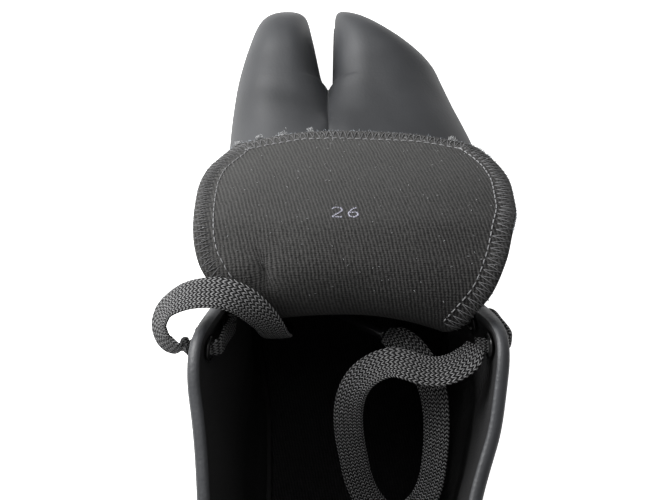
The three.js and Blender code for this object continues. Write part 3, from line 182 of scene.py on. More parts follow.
LACE_RIGHT = [
    ((38.7, 73.5, 148.7), (-0.4, 0.1, 1)), ((35.9, 69.6, 149.2), (-0.25, 0.1, 1)),
    ((31.8, 67, 149.4), (-0.1, 0.05, 1)), ((27.2, 66, 149), (0, 0, 1)), ((22.6, 66.4, 149.2), (0.05, 0, 1)),
    ((18.4, 67.8, 149.6), (0.05, 0, 1)), ((14.2, 68.8, 149), (-0.05, 0, 1)),
    ((9.8, 68.1, 147), (-0.2, -0.05, 1)), ((5.4, 65.8, 143.6), (-0.35, -0.2, 0.9)),
    ((2.5, 62.2, 139), (-0.3, -0.4, 0.85)), ((1.2, 57.4, 133), (-0.15, -0.6, 0.8)),
    ((1.4, 51.8, 126), (-0.05, -0.65, 0.75)), ((2.7, 45.7, 119), (0.05, -0.65, 0.75)),
    ((4.6, 38.8, 111.6), (0.15, -0.6, 0.75)), ((8.2, 32.6, 105.4), (0.2, -0.45, 0.85)),
    ((13.4, 28.5, 101.6), (0.1, -0.2, 1)), ((19.1, 28.5, 101.2), (-0.15, -0.15, 1)),
    ((23.8, 31.4, 104), (-0.4, -0.3, 0.85)), ((26.8, 36.5, 109.2), (-0.6, -0.45, 0.65)),
    ((28, 43.2, 115.8), (-0.6, -0.45, 0.65)), ((28.4, 50.4, 122), (-0.55, -0.4, 0.7)),
    ((28.1, 57.6, 127.4), (-0.5, -0.35, 0.8)), ((26.8, 64.3, 131.6), (-0.35, -0.25, 0.9)),
    ((24, 70.6, 134.6), (-0.2, -0.2, 0.95)), ((19.8, 75.8, 136.4), (-0.05, -0.2, 0.97)),
    ((16.4, 78.2, 135.8), (0, -0.1, 1)), ((13, 80.4, 133.6), (-0.4, 0.2, 0.9)),
]

# %% [markdown]
# ## The camera
#
# The picture was taken from almost straight above the opening, looking down and a little forward. The
# camera's place and angles were found by matching known points of the shoe to their pixels. They are kept
# as numbers, because a camera aimed by hand would shift every outline by a few pixels.

# %% Camera
EYE = Vector((-5.1, -8.79, 531.09)) * MM
PITCH = math.radians(73.65)
YAW = math.radians(1.21)
ROLL = math.radians(0.92)
FOCAL_PIXELS = 1322.1
IMAGE_WIDTH = 670


def make_camera():
    ahead = Vector((math.sin(YAW) * math.cos(PITCH), math.cos(YAW) * math.cos(PITCH), -math.sin(PITCH)))
    level = Vector((math.cos(YAW), -math.sin(YAW), 0))
    over = level.cross(ahead)
    right = math.cos(ROLL) * level + math.sin(ROLL) * over
    up = math.cos(ROLL) * over - math.sin(ROLL) * level
    data = bpy.data.cameras.new("camera")
    data.sensor_width = 36
    data.lens = FOCAL_PIXELS * data.sensor_width / IMAGE_WIDTH
    data.clip_start = 0.01
    camera = bpy.data.objects.new("camera", data)
    turn = Matrix((right, up, -ahead)).transposed().to_4x4()
    camera.matrix_world = Matrix.Translation(EYE) @ turn
    bpy.context.scene.collection.objects.link(camera)
    bpy.context.scene.camera = camera


make_camera()

# %% [markdown]
# ## Small tools for shapes
#
# Most forms below are made by reading a value from a table and mixing two neighbours. Straight mixing
# leaves a visible edge at each row, so `read` runs a smooth curve through the rows that never swings past
# them. `ease` does the same for a single step from nought to one.

# %% Mixing values
def mix(a, b, t):
    return a + (b - a) * t


def clamp(v, lo=0.0, hi=1.0):
    return min(hi, max(lo, v))


def ease(t):
    return clamp(t) ** 2 * (3 - 2 * clamp(t))

# %% Smooth reading of a table
def read(columns, by, column, value):
    """A smooth value of one column at a value of another (monotone cubic)."""
    xs = columns[by]
    ys = columns[column]
    last = len(xs) - 1
    v = clamp(value, xs[0], xs[last])
    i = 0
    while i < last - 1 and v > xs[i + 1]:
        i += 1

    def secant(k):
        return (ys[k + 1] - ys[k]) / (xs[k + 1] - xs[k])

    def slope(k):
        if k == 0:
            return secant(0)
        if k == last:
            return secant(last - 1)
        a = secant(k - 1)
        b = secant(k)
        return 0 if a * b <= 0 else 2 * a * b / (a + b)

    h = xs[i + 1] - xs[i]
    t = (v - xs[i]) / h
    start = (1 + 2 * t) * (1 - t) ** 2 * ys[i] + t * (1 - t) ** 2 * h * slope(i)
    return start + t * t * (3 - 2 * t) * ys[i + 1] + t * t * (t - 1) * h * slope(i + 1)


def unit(v):
    return v / max(1e-12, float(np.linalg.norm(v)))


def evenly(line, count):
    """A polyline cut into equal lengths."""
    line = np.asarray(line, float)
    reach = np.concatenate([[0], np.cumsum(np.linalg.norm(np.diff(line, axis=0), axis=1))])
    want = np.linspace(0, reach[-1], count + 1)
    return np.stack([np.interp(want, reach, line[:, k]) for k in range(line.shape[1])], axis=1)

# %% A smooth line through points
class Curve:
    """A smooth line through points, centripetal, as the CAD model draws its laces."""

    def __init__(self, points):
        self.points = np.asarray(points, float)

    def at(self, t):
        p = self.points
        last = len(p) - 1
        along = t * last
        i = int(clamp(math.floor(along), 0, last - 1))
        w = along - i
        p0 = p[i - 1] if i > 0 else 2 * p[0] - p[1]
        p3 = p[i + 2] if i + 2 <= last else 2 * p[last] - p[last - 1]
        p1 = p[i]
        p2 = p[i + 1]
        gaps = [max(1e-4, float(np.linalg.norm(b - a)) ** 0.5) for a, b in ((p0, p1), (p1, p2), (p2, p3))]
        t1 = (p1 - p0) / gaps[0] - (p2 - p0) / (gaps[0] + gaps[1]) + (p2 - p1) / gaps[1]
        t2 = (p2 - p1) / gaps[1] - (p3 - p1) / (gaps[1] + gaps[2]) + (p3 - p2) / gaps[2]
        t1 = t1 * gaps[1]
        t2 = t2 * gaps[1]
        c2 = -3 * p1 + 3 * p2 - 2 * t1 - t2
        c3 = 2 * p1 - 2 * p2 + t1 + t2
        return p1 + t1 * w + c2 * w * w + c3 * w**3

    def ahead(self, t):
        step = 1e-4
        return unit(self.at(min(1, t + step)) - self.at(max(0, t - step)))

# %% Make and dress an object
def make_object(name, points, faces, uv=None, smooth=True):
    """A mesh piece from points in millimetres. uv is one pair for each face corner."""
    mesh = bpy.data.meshes.new(name)
    mesh.from_pydata([tuple(float(c) * MM for c in p) for p in points], [], faces)
    if uv is not None:
        layer = mesh.uv_layers.new(name="cloth")
        layer.data.foreach_set("uv", np.asarray(uv, np.float32).ravel())
    mesh.polygons.foreach_set("use_smooth", [smooth] * len(mesh.polygons))
    mesh.update()
    obj = bpy.data.objects.new(name, mesh)
    bpy.context.scene.collection.objects.link(obj)
    return obj


def dress(obj, material, slot, replaced=()):
    obj.data.materials.append(material)
    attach(obj, "root")
    if replaced:
        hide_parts(*replaced)
    print(f"{obj.name}: {len(obj.data.polygons)} faces, finished as {slot}")
    return obj


# %% [markdown]
# ## The plan outline
#
# Seen from above, a split-toe shoe is one loop: round the heel, along both sides, and down into the split
# between the toes. A spline drawn by hand could do it, but sole, footbed and upper must share it. A
# `Plan` therefore makes the loop at a chosen fineness and knows how to move it inwards.

# %% Edges of the plan
CLEFT_END = LENGTH - CLEFT_DEPTH
SIDES = ("lateral", "medial")


def tip_y(side):
    return LENGTH * (1 - TOES[side]["short"])


def side_x(side, y):
    share = y / LENGTH
    way = (share - PLAN_HEEL_SHARE) / (PLAN_BALL_SHARE - PLAN_HEEL_SHARE)
    width = mix(HEEL_WIDTH, BALL_WIDTH, ease(way))
    return read(PLAN, "along", side, share) * width


def rounded(along, end, reach, shape):
    q = clamp((along - (end - reach)) / reach)
    return (1 - q ** shape["power"]) ** shape["root"]


def outer_x(side, y):
    toe = TOES[side]
    heel = rounded(-y, 0, HEEL_ROUND["length"] * LENGTH, HEEL_ROUND)
    tip = toe["tip"] * BALL_WIDTH
    front = rounded(y, tip_y(side), toe["outer"]["reach"] * LENGTH, toe["outer"])
    plain = toe["sign"] * side_x(side, y) * heel
    return tip + (plain - tip) * front


def cleft_x(side, y):
    toe = TOES[side]
    middle = CLEFT_X * BALL_WIDTH
    into = clamp(y - CLEFT_END, 0, CLEFT_DEPTH)
    opening = clamp(into / (CLEFT_ROUND * CLEFT_END_GAP))
    wall = toe["wall"] * BALL_WIDTH + toe["slope"] * BALL_WIDTH * into
    spread = middle + (wall - middle) * math.sqrt(opening * (2 - opening))
    tip = toe["tip"] * BALL_WIDTH
    return tip + (spread - tip) * rounded(y, tip_y(side), toe["inner"]["reach"] * LENGTH, toe["inner"])


VAMP_GAPS = table(
    "share gap",
    (0.0, 0.0), (0.125, 0.015), (0.25, 0.05), (0.375, 0.11), (0.5, 0.2), (0.625, 0.33), (0.75, 0.5),
    (0.875, 0.74), (1.0, 1.0),
)

# %% [markdown]
# ## The plan as a closed loop
#
# The loop's points keep their names: toe, vamp, split and back. Moved inwards, the loop gives the rim,
# the footbed and the sole's steps, so all of them stay parallel to each other.

# %% The plan's class
class Plan:
    def __init__(self, toe, vamp, back):
        self.toe = toe
        self.vamp = vamp
        self.back = back
        gaps = [read(VAMP_GAPS, "share", "gap", k / vamp) for k in range(vamp + 1)]
        self.vamp_y = [mix(CLEFT_END, THROAT_BASE, g) for g in gaps]
        self.at = {part: {} for part in ("back", "vamp", "toe", "cleft")}
        self.loop = self.build()

    def toe_y(self, side):
        shares = [(1 - math.cos(math.pi * j / self.toe)) / 2 for j in range(self.toe + 1)]
        return [mix(CLEFT_END, tip_y(side), s) for s in shares]

    def back_points(self, side):
        fine = [THROAT_BASE * (1 - math.sin(i / 400 * math.pi / 2)) for i in range(401)]
        return evenly([(outer_x(side, y), y) for y in fine], self.back)

    def build(self):
        loop = []
        at = self.at

        def add(x, y):
            loop.append((x, y))
            return len(loop) - 1

        back = self.back_points("lateral")
        line = {c: add(0 if c == self.back else back[c][0], back[c][1]) for c in range(self.back, -1, -1)}
        at["back"]["lateral"] = [line[c] for c in range(self.back + 1)]
        outer = {self.vamp: at["back"]["lateral"][0]}
        for s in range(self.vamp - 1, -1, -1):
            outer[s] = add(outer_x("lateral", self.vamp_y[s]), self.vamp_y[s])
        at["vamp"]["lateral"] = [outer[s] for s in range(self.vamp + 1)]
        ys = self.toe_y("lateral")
        toe = [outer[0]] + [add(outer_x("lateral", ys[j]), ys[j]) for j in range(1, self.toe + 1)]
        at["toe"]["lateral"] = toe
        cleft = {self.toe: toe[-1]}
        for j in range(self.toe - 1, -1, -1):
            cleft[j] = add(cleft_x("lateral", ys[j]), ys[j])
        at["cleft"]["lateral"] = [cleft[j] for j in range(self.toe + 1)]
        ys = self.toe_y("medial")
        inner = [cleft[0]] + [add(cleft_x("medial", ys[j]), ys[j]) for j in range(1, self.toe)]
        toe = {j: add(outer_x("medial", ys[j]), ys[j]) for j in range(self.toe, 0, -1)}
        at["cleft"]["medial"] = inner + [toe[self.toe]]
        at["vamp"]["medial"] = [add(outer_x("medial", y), y) for y in self.vamp_y]
        toe[0] = at["vamp"]["medial"][0]
        at["toe"]["medial"] = [toe[j] for j in range(self.toe + 1)]
        back = self.back_points("medial")
        line = [at["vamp"]["medial"][-1]] + [add(*back[c]) for c in range(1, self.back)]
        at["back"]["medial"] = line + [at["back"]["lateral"][-1]]
        return np.asarray(loop, float)

    @staticmethod
    def outward(loop):
        one = loop - np.roll(loop, 1, axis=0)
        one /= np.maximum(1e-9, np.linalg.norm(one, axis=1))[:, None]
        tangent = one + np.roll(one, -1, axis=0)
        tangent /= np.maximum(1e-9, np.linalg.norm(tangent, axis=1))[:, None]
        return np.stack([tangent[:, 1], -tangent[:, 0]], axis=1)

    def inset(self, by, step=0.4, settle=0.3):
        """The outline drawn in by a distance, in small steps so that tight rounds close up."""
        loop = self.loop
        count = max(1, math.ceil(by / step))
        for _ in range(count if by > 0 else 0):
            moved = loop - self.outward(loop) * by / count
            before = np.roll(moved, 1, axis=0)
            after = np.roll(moved, -1, axis=0)
            along = after - before
            along /= np.maximum(1e-9, np.linalg.norm(along, axis=1))[:, None]
            drift = ((before + after) / 2 - moved) * along
            loop = moved + along * drift.sum(axis=1)[:, None] * settle
        return loop

    def strips(self, fan):
        """Rows of partners across the plan, from heel to toes."""
        at = self.at
        rear = [(at["back"]["medial"][c], at["back"]["lateral"][c]) for c in range(self.back, 0, -1)]
        rear += [(at["vamp"]["medial"][s], at["vamp"]["lateral"][s]) for s in range(self.vamp, fan - 1, -1)]
        medial = list(zip(at["toe"]["medial"], at["cleft"]["medial"]))
        lateral = list(zip(at["cleft"]["lateral"], at["toe"]["lateral"]))
        return [rear, medial, lateral]

    def fill(self, ring, up, behind):
        """Faces that fill the plan between a ring's partners. behind is how far the ring is drawn in."""
        fan = next(s for s in range(self.vamp + 1) if CLEFT_END - self.vamp_y[s] > behind + 0.7)
        faces = []
        for rows in self.strips(fan):
            for (a, b), (d, c) in zip(rows, rows[1:]):
                quad = [ring[a], ring[b], ring[c], ring[d]]
                faces.append([v for k, v in enumerate(quad) if v != quad[k - 1]])
        split = ring[self.at["cleft"]["medial"][0]]
        medial = self.at["vamp"]["medial"]
        lateral = self.at["vamp"]["lateral"]
        faces.append([ring[medial[fan]], ring[lateral[fan]], split])
        for s in range(fan, 0, -1):
            faces.append([ring[medial[s]], split, ring[medial[s - 1]]])
            faces.append([split, ring[lateral[s]], ring[lateral[s - 1]]])
        return faces if up else [f[::-1] for f in faces]

# %% [markdown]
# ## Heights of the sole
#
# The heel's back edge is bevelled, the waist lifts off the ground as an arch, and the toes spring up.
# Each of these is a small function of `y`, because the sole, the footbed and the upper's foot all stand
# on them.

# %% Heights along the shoe
def wall_between(lower, upper):
    n = len(lower)
    return [[lower[i], lower[(i + 1) % n], upper[(i + 1) % n], upper[i]] for i in range(n)]


SPRING_FROM = 0.72


def spring(y):
    return TOE_SPRING * clamp((y / LENGTH - SPRING_FROM) / (1 - SPRING_FROM)) ** 1.8


def heel_bevel(y):
    return HEEL_BEVEL * clamp(1 - y / (HEEL_REST * 0.45)) ** 2


def arch_lift(y):
    s = y / LENGTH
    return ARCH_LIFT * (ease((s - 0.31) / 0.06) - ease((s - 0.5) / 0.08))


def sole_bottom(y):
    return spring(y) + heel_bevel(y) + arch_lift(y)


def cup_floor(y):
    return spring(y) + mix(HEEL_FLOOR, TOE_FLOOR, ease((y / LENGTH - 0.28) / 0.38))


def rim_top(y):
    return cup_floor(y) + RIM_ABOVE_FLOOR


def skirt_top(y):
    return rim_top(y) + 2 * CLEAR


def placed(p, z):
    return np.array([p[0], p[1] - HEEL_REST, z])

# %% [markdown]
# ## The upper's surface
#
# The upper is leather pulled over the last: two vamp halves that part at the split, and two quarters that
# rise to the collar and end in the lacing flaps. Sculpting would give the form but not the sizes. Here
# each cross section is a rounded arch whose height and width come from the tables, so that the surface
# stays true to the CAD's while it has many more rows.

# %% Half width of the collar
def collar_half(side, y):
    return COLLAR_HALF * read(COLLAR, "along", side, (y - COLLAR_BACK) / (COLLAR_FRONT - COLLAR_BACK))

# %% The upper's rows
class Upper:
    """The outer surface as grids of points: columns round the foot, rows from the rim up."""

    def __init__(self, plan, rows, quarter_rows):
        self.plan = plan
        self.rows = rows
        self.quarter_rows = quarter_rows
        self.loop = plan.loop
        self.fold = plan.inset(RIM + CLEAR) - plan.loop
        self.out = plan.outward(plan.loop)
        self.columns = {side: self.vamp(side) for side in SIDES}
        self.quarters = {side: self.quarter(side) for side in SIDES}

    def throat_angle(self, side):
        half = abs(outer_x(side, THROAT_BASE) - CLEFT_X * BALL_WIDTH)
        return math.acos((THROAT_HALF_GAP / half) ** (ARCH_POWER / 2))

    def tuck(self, i, rise):
        return self.fold[i] * math.exp(-max(0, rise) / TUCK)

    def point(self, side, outer, inner, y, merge, i, tucked=True):
        full = math.pi - merge * math.pi / 2
        edge = self.throat_angle(side)
        even = i / self.rows * full
        if i <= self.quarter_rows:
            warped = edge * i / self.quarter_rows
        else:
            warped = mix(edge, full, (i - self.quarter_rows) / (self.rows - self.quarter_rows))
        turn = mix(even, warped, merge**4)
        outside = self.loop[outer]
        middle = CLEFT_X * BALL_WIDTH
        inside = np.array([middle, y]) if inner is None else self.loop[inner]
        beyond = ease((y - CLEFT_END) / CLEFT_DEPTH)
        own = mix(mix(middle, outside[0], APEX[side]), mix(inside[0], outside[0], TIP_APEX), beyond)
        apex = mix(own, middle, ease((CLEFT_END - y) / (CLEFT_END - THROAT_BASE)))
        base = skirt_top(y)
        height = self.ridge(y) - base
        cos = power(math.cos(turn), ARCH_POWER)
        reach = max(1e-9, abs(power(math.cos(full), ARCH_POWER)))
        x = apex + (outside[0] - apex) * cos if cos >= 0 else apex + (inside[0] - apex) * -cos / reach
        if cos < 0 and merge >= 1:
            x = middle
        rise = height * power(max(0, math.sin(turn)), ARCH_HEIGHT_POWER)
        wall = self.plan.at["cleft"]["medial"][0] if inner is None else inner
        fold = self.tuck(outer if cos >= 0 else wall, rise) if tucked else np.zeros(2)
        return np.array([x + fold[0], y + fold[1] - HEEL_REST, base + rise])

    @staticmethod
    def ridge(y):
        at = (y - THROAT_BASE) / (LENGTH - THROAT_BASE)
        rise = THROAT_HEIGHT - TOE_HEIGHT
        return spring(y) + TOE_HEIGHT * read(RIDGE, "at", "toe", at) + rise * read(RIDGE, "at", "climb", at)

    def vamp(self, side):
        columns = []
        rows = range(self.rows + 1)
        at = self.plan.at
        for j in range(self.plan.toe, -1, -1):
            outer = at["toe"][side][j]
            inner = at["cleft"][side][j]
            y = self.loop[outer][1]
            columns.append([self.point(side, outer, inner, y, 0, i) for i in rows])
        for s in range(1, self.plan.vamp + 1):
            y = self.plan.vamp_y[s]
            merge = ((CLEFT_END - y) / (CLEFT_END - THROAT_BASE)) ** VALLEY_POWER
            columns.append([self.point(side, at["vamp"][side][s], None, y, merge, i) for i in rows])
        return np.asarray(columns)

    def edge_line(self, side):
        sign = TOES[side]["sign"]
        start = self.plan.at["vamp"][side][-1]
        foot = self.point(side, start, None, THROAT_BASE, 1, self.quarter_rows, False)
        corner_x = sign * collar_half(side, COLLAR_FRONT)
        corner = np.array([corner_x, COLLAR_FRONT - HEEL_REST, COLLAR_FRONT_HEIGHT])
        fine = 120
        flap = [mix(foot, corner, i / fine) for i in range(fine + 1)]
        collar = []
        for i in range(fine + 1):
            y = mix(COLLAR_BACK, COLLAR_FRONT, 1 - math.sin(i / fine * math.pi / 2))
            back = clamp((COLLAR_MID - y) / (COLLAR_MID - COLLAR_BACK))
            x = sign * collar_half(side, y) * (1 - back**2.3) ** (1 / 2.3)
            up = ((y - COLLAR_BACK) / (COLLAR_FRONT - COLLAR_BACK)) ** 1.6
            collar.append(np.array([x, y - HEEL_REST, mix(COLLAR_BACK_HEIGHT, COLLAR_FRONT_HEIGHT, up)]))
        rough = np.concatenate([evenly(flap, fine)[:-1], evenly(collar, fine)])
        smooth = []
        for i in range(len(rough)):
            span = min(CORNER_ROUND, i, len(rough) - 1 - i)
            smooth.append(rough[i - span : i + span + 1].mean(axis=0))
        smooth = np.asarray(smooth)
        columns = round(self.plan.back * FLAP_SHARE)
        front = evenly(smooth[: fine + 1], columns)[:-1]
        return np.concatenate([front, evenly(smooth[fine:], self.plan.back - columns)])

    def quarter(self, side):
        edge = self.edge_line(side)
        start = self.plan.at["vamp"][side][-1]
        rows = range(self.quarter_rows + 1)
        arch = [self.point(side, start, None, THROAT_BASE, 1, i, False) for i in rows]
        run = arch[-1] - arch[0]
        columns = []
        for c, top in enumerate(edge):
            index = self.plan.at["back"][side][c]
            foot = placed(self.loop[index], skirt_top(self.loop[index][1]))
            out = self.out[index]
            share = c / self.plan.back
            arched = 1 - ease(share / ARCH_FADE)
            heel = ease((share - 0.72) / 0.28)
            front = 1 - ease((share - 0.4) / 0.3)
            column = []
            for i, p in enumerate(arch):
                t = i / self.quarter_rows
                across = mix(t, (p[0] - arch[0][0]) / run[0], arched)
                up = mix(t, (p[2] - arch[0][2]) / run[2], arched)
                swell = read(SHAFT, "up", "side", t) * (1 - heel) * (1 - front)
                swell += read(SHAFT, "up", "heel", t) * heel + read(SHAFT, "up", "front", t) * front
                stand = swell * (HEEL_WIDTH / 2) * (1 - arched)
                z = mix(foot[2], top[2], up)
                fold = self.tuck(index, z - foot[2])
                x = mix(foot[0], top[0], across) + out[0] * stand + fold[0]
                column.append(np.array([x, mix(foot[1], top[1], up) + out[1] * stand + fold[1], z]))
            columns.append(column)
        columns = np.asarray(columns)
        columns[0] = self.columns[side][-1][: self.quarter_rows + 1]
        return columns

# %% One sheet from both sides
def power(v, p):
    return math.copysign(abs(v) ** (2 / p), v)


class Sheet:
    """Shared points and quads, so that neighbouring grids join."""

    def __init__(self):
        self.points = []
        self.faces = []
        self.known = {}

    def join(self, p):
        key = tuple(int(round(float(c) * 200)) for c in p)
        if key not in self.known:
            self.known[key] = len(self.points)
            self.points.append(np.asarray(p, float))
        return self.known[key]

    def quad(self, *corners):
        face = [v for k, v in enumerate(corners) if v != corners[k - 1]]
        if len(set(face)) == len(face) > 2:
            self.faces.append(face)


fine_plan = Plan(24, 26, 64)
shape = Upper(fine_plan, 36, 27)
upper_sheet = Sheet()
foot_of = {}
for side in SIDES:
    at = fine_plan.at
    ids = [[upper_sheet.join(p) for p in column] for column in shape.columns[side]]
    for j in range(fine_plan.toe + 1):
        foot_of[at["toe"][side][j]] = ids[fine_plan.toe - j][0]
        foot_of[at["cleft"][side][j]] = ids[fine_plan.toe - j][-1]
    for s in range(1, fine_plan.vamp + 1):
        foot_of[at["vamp"][side][s]] = ids[fine_plan.toe + s][0]
    walls = [[upper_sheet.join(p) for p in column] for column in shape.quarters[side]]
    for c in range(fine_plan.back + 1):
        foot_of[at["back"][side][c]] = walls[c][0]
    for grid in (ids, walls):
        for one, two in zip(grid, grid[1:]):
            for i in range(len(one) - 1):
                corners = [one[i], one[i + 1], two[i + 1], two[i]]
                upper_sheet.quad(*(corners if side == "lateral" else corners[::-1]))
skirt = fine_plan.inset(RIM + CLEAR)
lower = [upper_sheet.join(placed(p, cup_floor(p[1]) + CLEAR)) for p in skirt]
upper = [foot_of[i] for i in range(len(fine_plan.loop))]
for face in wall_between(lower, upper):
    upper_sheet.quad(*face)

# %% [markdown]
# ## Places on the flaps
#
# On the real shoe a cobbler marks the eyelets with a gauge, along the flap's edge and at one depth from
# it. The same two measures place everything here: how far along the edge, and how deep. This keeps
# eyelets and seams on the curved leather without typing three coordinates for each.

# %% Measure along a flap
FLAP_COLUMNS = round(fine_plan.back * FLAP_SHARE)
FLAPS = {side: shape.quarters[side][: FLAP_COLUMNS + 14, ::-1] for side in SIDES}


def down_column(column, depth):
    steps = np.linalg.norm(np.diff(column, axis=0), axis=1)
    reach = np.concatenate([[0], np.cumsum(steps)])
    return np.array([np.interp(depth, reach, column[:, k]) for k in range(3)])


def flap_point(side, reach, depth):
    columns = FLAPS[side]
    edge = columns[:, 0]
    total = np.concatenate([[0], np.cumsum(np.linalg.norm(np.diff(edge, axis=0), axis=1))])
    c = int(clamp(np.searchsorted(total, reach) - 1, 0, len(columns) - 2))
    share = (reach - total[c]) / (total[c + 1] - total[c])
    return mix(down_column(columns[c], depth), down_column(columns[c + 1], depth), share)


def on_flap(side, reach, depth):
    """The place that lies square in from the edge, with its outward normal."""
    probe = EYELET_FLANGE
    edge = flap_point(side, reach, 0)
    along = unit(flap_point(side, reach + 1, 0) - edge)
    down = unit(flap_point(side, reach, max(depth, 0.5)) - edge)
    lean = float(down @ along)
    square = math.sqrt(1 - lean * lean)
    column = reach - depth * lean / square
    drop = depth / square
    fore = flap_point(side, column + probe, drop) - flap_point(side, column - probe, drop)
    fall = flap_point(side, column, drop + probe) - flap_point(side, column, max(0, drop - probe))
    normal = unit(np.cross(fall, fore)) * (-1 if side == "lateral" else 1)
    return flap_point(side, column, drop), normal


def edge_reach(side):
    edge = FLAPS[side][: FLAP_COLUMNS + 1, 0]
    return float(np.linalg.norm(np.diff(edge, axis=0), axis=1).sum())

# %% Places of the eyelet pairs
FIRST_EYELET = 0.075
LAST_EYELET = 0.91


def pair_reach(side, pair):
    return mix(FIRST_EYELET, LAST_EYELET, pair / (EYELET_PAIRS - 1)) * edge_reach(side)


def at_eyelet(side, pair, by):
    point, normal = on_flap(side, pair_reach(side, pair), EYELET_INSET)
    return point + normal * by, normal


EDGE_DEPTH = 2.5


def near_edge(side, pair, by):
    point, normal = on_flap(side, pair_reach(side, pair), EDGE_DEPTH)
    return point + normal * by, normal


# %% [markdown]
# ## Ribbons
#
# A sneaker's lace is a flat knitted tube. Blender's curve bevel could draw it, but it gives no say over
# how the lace twists or narrows. `ribbon` lays a flattened ring at each step, turned to a face direction
# that belongs to each point of the route, and squeezes it where it passes an eyelet. It also keeps the
# distance along the lace in a UV map, for the knit.

# %% A flat lace along a line
def ribbon(name, route, width, steps, thickness=LACE_THICKNESS, sides=14, squeeze=None):
    """route is pairs of point and face direction; squeeze is pairs of width and thickness shares."""
    curve = Curve([p for p, _ in route])
    faces_at = [np.asarray(f, float) for _, f in route]
    squeeze = squeeze or [(1, 1)] * len(route)
    rings = []
    along = [0.0]
    before = None
    for i in range(steps + 1):
        t = i / steps
        at = curve.at(t)
        if before is not None:
            along.append(along[-1] + float(np.linalg.norm(at - before)))
        before = at
        ahead = curve.ahead(t)
        place = t * (len(route) - 1)
        k = min(len(route) - 2, int(place))
        share = ease(place - k)
        face = mix(faces_at[k], faces_at[k + 1], place - k)
        wide = mix(squeeze[k][0], squeeze[k + 1][0], share) * width / 2
        high = mix(squeeze[k][1], squeeze[k + 1][1], share) * thickness / 2
        across = unit(np.cross(ahead, face))
        up = unit(np.cross(across, ahead))
        ring = []
        for n in range(sides):
            turn = (n + 0.5) / sides * 2 * math.pi
            x = math.copysign(abs(math.cos(turn)) ** 0.5, math.cos(turn))
            z = math.copysign(abs(math.sin(turn)) ** 0.7, math.sin(turn))
            ring.append(at + across * x * wide + up * z * high)
        rings.append(ring)
    points = [p for ring in rings for p in ring]
    faces = []
    uv = []
    widths = [math.copysign(abs(math.cos(a)) ** 0.5, math.cos(a)) * width / 2 for a in
              ((n + 0.5) / sides * 2 * math.pi for n in range(sides))]
    for i in range(steps):
        for n in range(sides):
            m = (n + 1) % sides
            faces.append([i * sides + n, (i + 1) * sides + n, (i + 1) * sides + m, i * sides + m])
            for ring, s in ((i, n), (i + 1, n), (i + 1, m), (i, m)):
                uv.append((widths[s] * MM, along[ring] * MM))
    faces.append(list(range(sides)))
    faces.append([steps * sides + n for n in range(sides - 1, -1, -1)])
    uv += [(w * MM, 0) for w in widths]
    uv += [(widths[n] * MM, along[-1] * MM) for n in range(sides - 1, -1, -1)]
    return make_object(name, points, faces, uv), curve, along[-1]

# %% Turned rings
def lathe(name, profile, place, sides=32):
    """A ring turned about its own axis, from a closed profile of radius and height."""
    point, normal = place
    turn = Vector((0, 0, 1)).rotation_difference(Vector(normal)).to_matrix()
    points = []
    for k in range(sides):
        angle = k / sides * 2 * math.pi
        for r, h in profile:
            local = Vector((r * math.cos(angle), r * math.sin(angle), h))
            points.append(np.asarray(point) + np.asarray(turn @ local))
    rows = len(profile)
    faces = []
    for k in range(sides):
        j = (k + 1) % sides
        for r in range(rows):
            s = (r + 1) % rows
            faces.append([k * rows + r, j * rows + r, j * rows + s, k * rows + s])
    return make_object(name, points, faces)


# %% [markdown]
# ## Materials
#
# Black is never one colour: leather shines softly, twill shows dusty ribs, knit shows single stitches.
# Pictures of cloth could be used, but they blur when seen close. The patterns below are calculated, as
# node groups that give a relief and a shade; each shader then gets its numbers on its own sockets.

# %% Helpers for node trees
def group(name, ins, outs):
    tree = bpy.data.node_groups.new(name, "ShaderNodeTree")
    for label, kind, value in ins:
        socket = tree.interface.new_socket(label, in_out="INPUT", socket_type=kind)
        if value is not None:
            socket.default_value = value
    for label, kind in outs:
        tree.interface.new_socket(label, in_out="OUTPUT", socket_type=kind)
    start = tree.nodes.new("NodeGroupInput")
    end = tree.nodes.new("NodeGroupOutput")
    return tree, start, end


def node(tree, kind, **values):
    made = tree.nodes.new(kind)
    for key, value in values.items():
        if hasattr(made, key):
            setattr(made, key, value)
        else:
            made.inputs[key.replace("_", " ")].default_value = value
    return made


def math_node(tree, operation, a, b=None):
    made = tree.nodes.new("ShaderNodeMath")
    made.operation = operation
    for k, value in enumerate((a, b)):
        if isinstance(value, (int, float)):
            made.inputs[k].default_value = value
        elif value is not None:
            tree.links.new(value, made.inputs[k])
    return made.outputs[0]


def ramp(tree, value, *stops):
    made = tree.nodes.new("ShaderNodeValToRGB")
    tree.links.new(value, made.inputs[0])
    elements = made.color_ramp.elements
    while len(elements) < len(stops):
        elements.new(0.5)
    for element, (at, color) in zip(elements, stops):
        element.position = at
        element.color = (*color, 1)
    return made.outputs[0]


def cloth_axes(tree):
    uv = tree.nodes.new("ShaderNodeUVMap")
    uv.uv_map = "cloth"
    split = tree.nodes.new("ShaderNodeSeparateXYZ")
    tree.links.new(uv.outputs[0], split.inputs[0])
    return split.outputs[0], split.outputs[1]
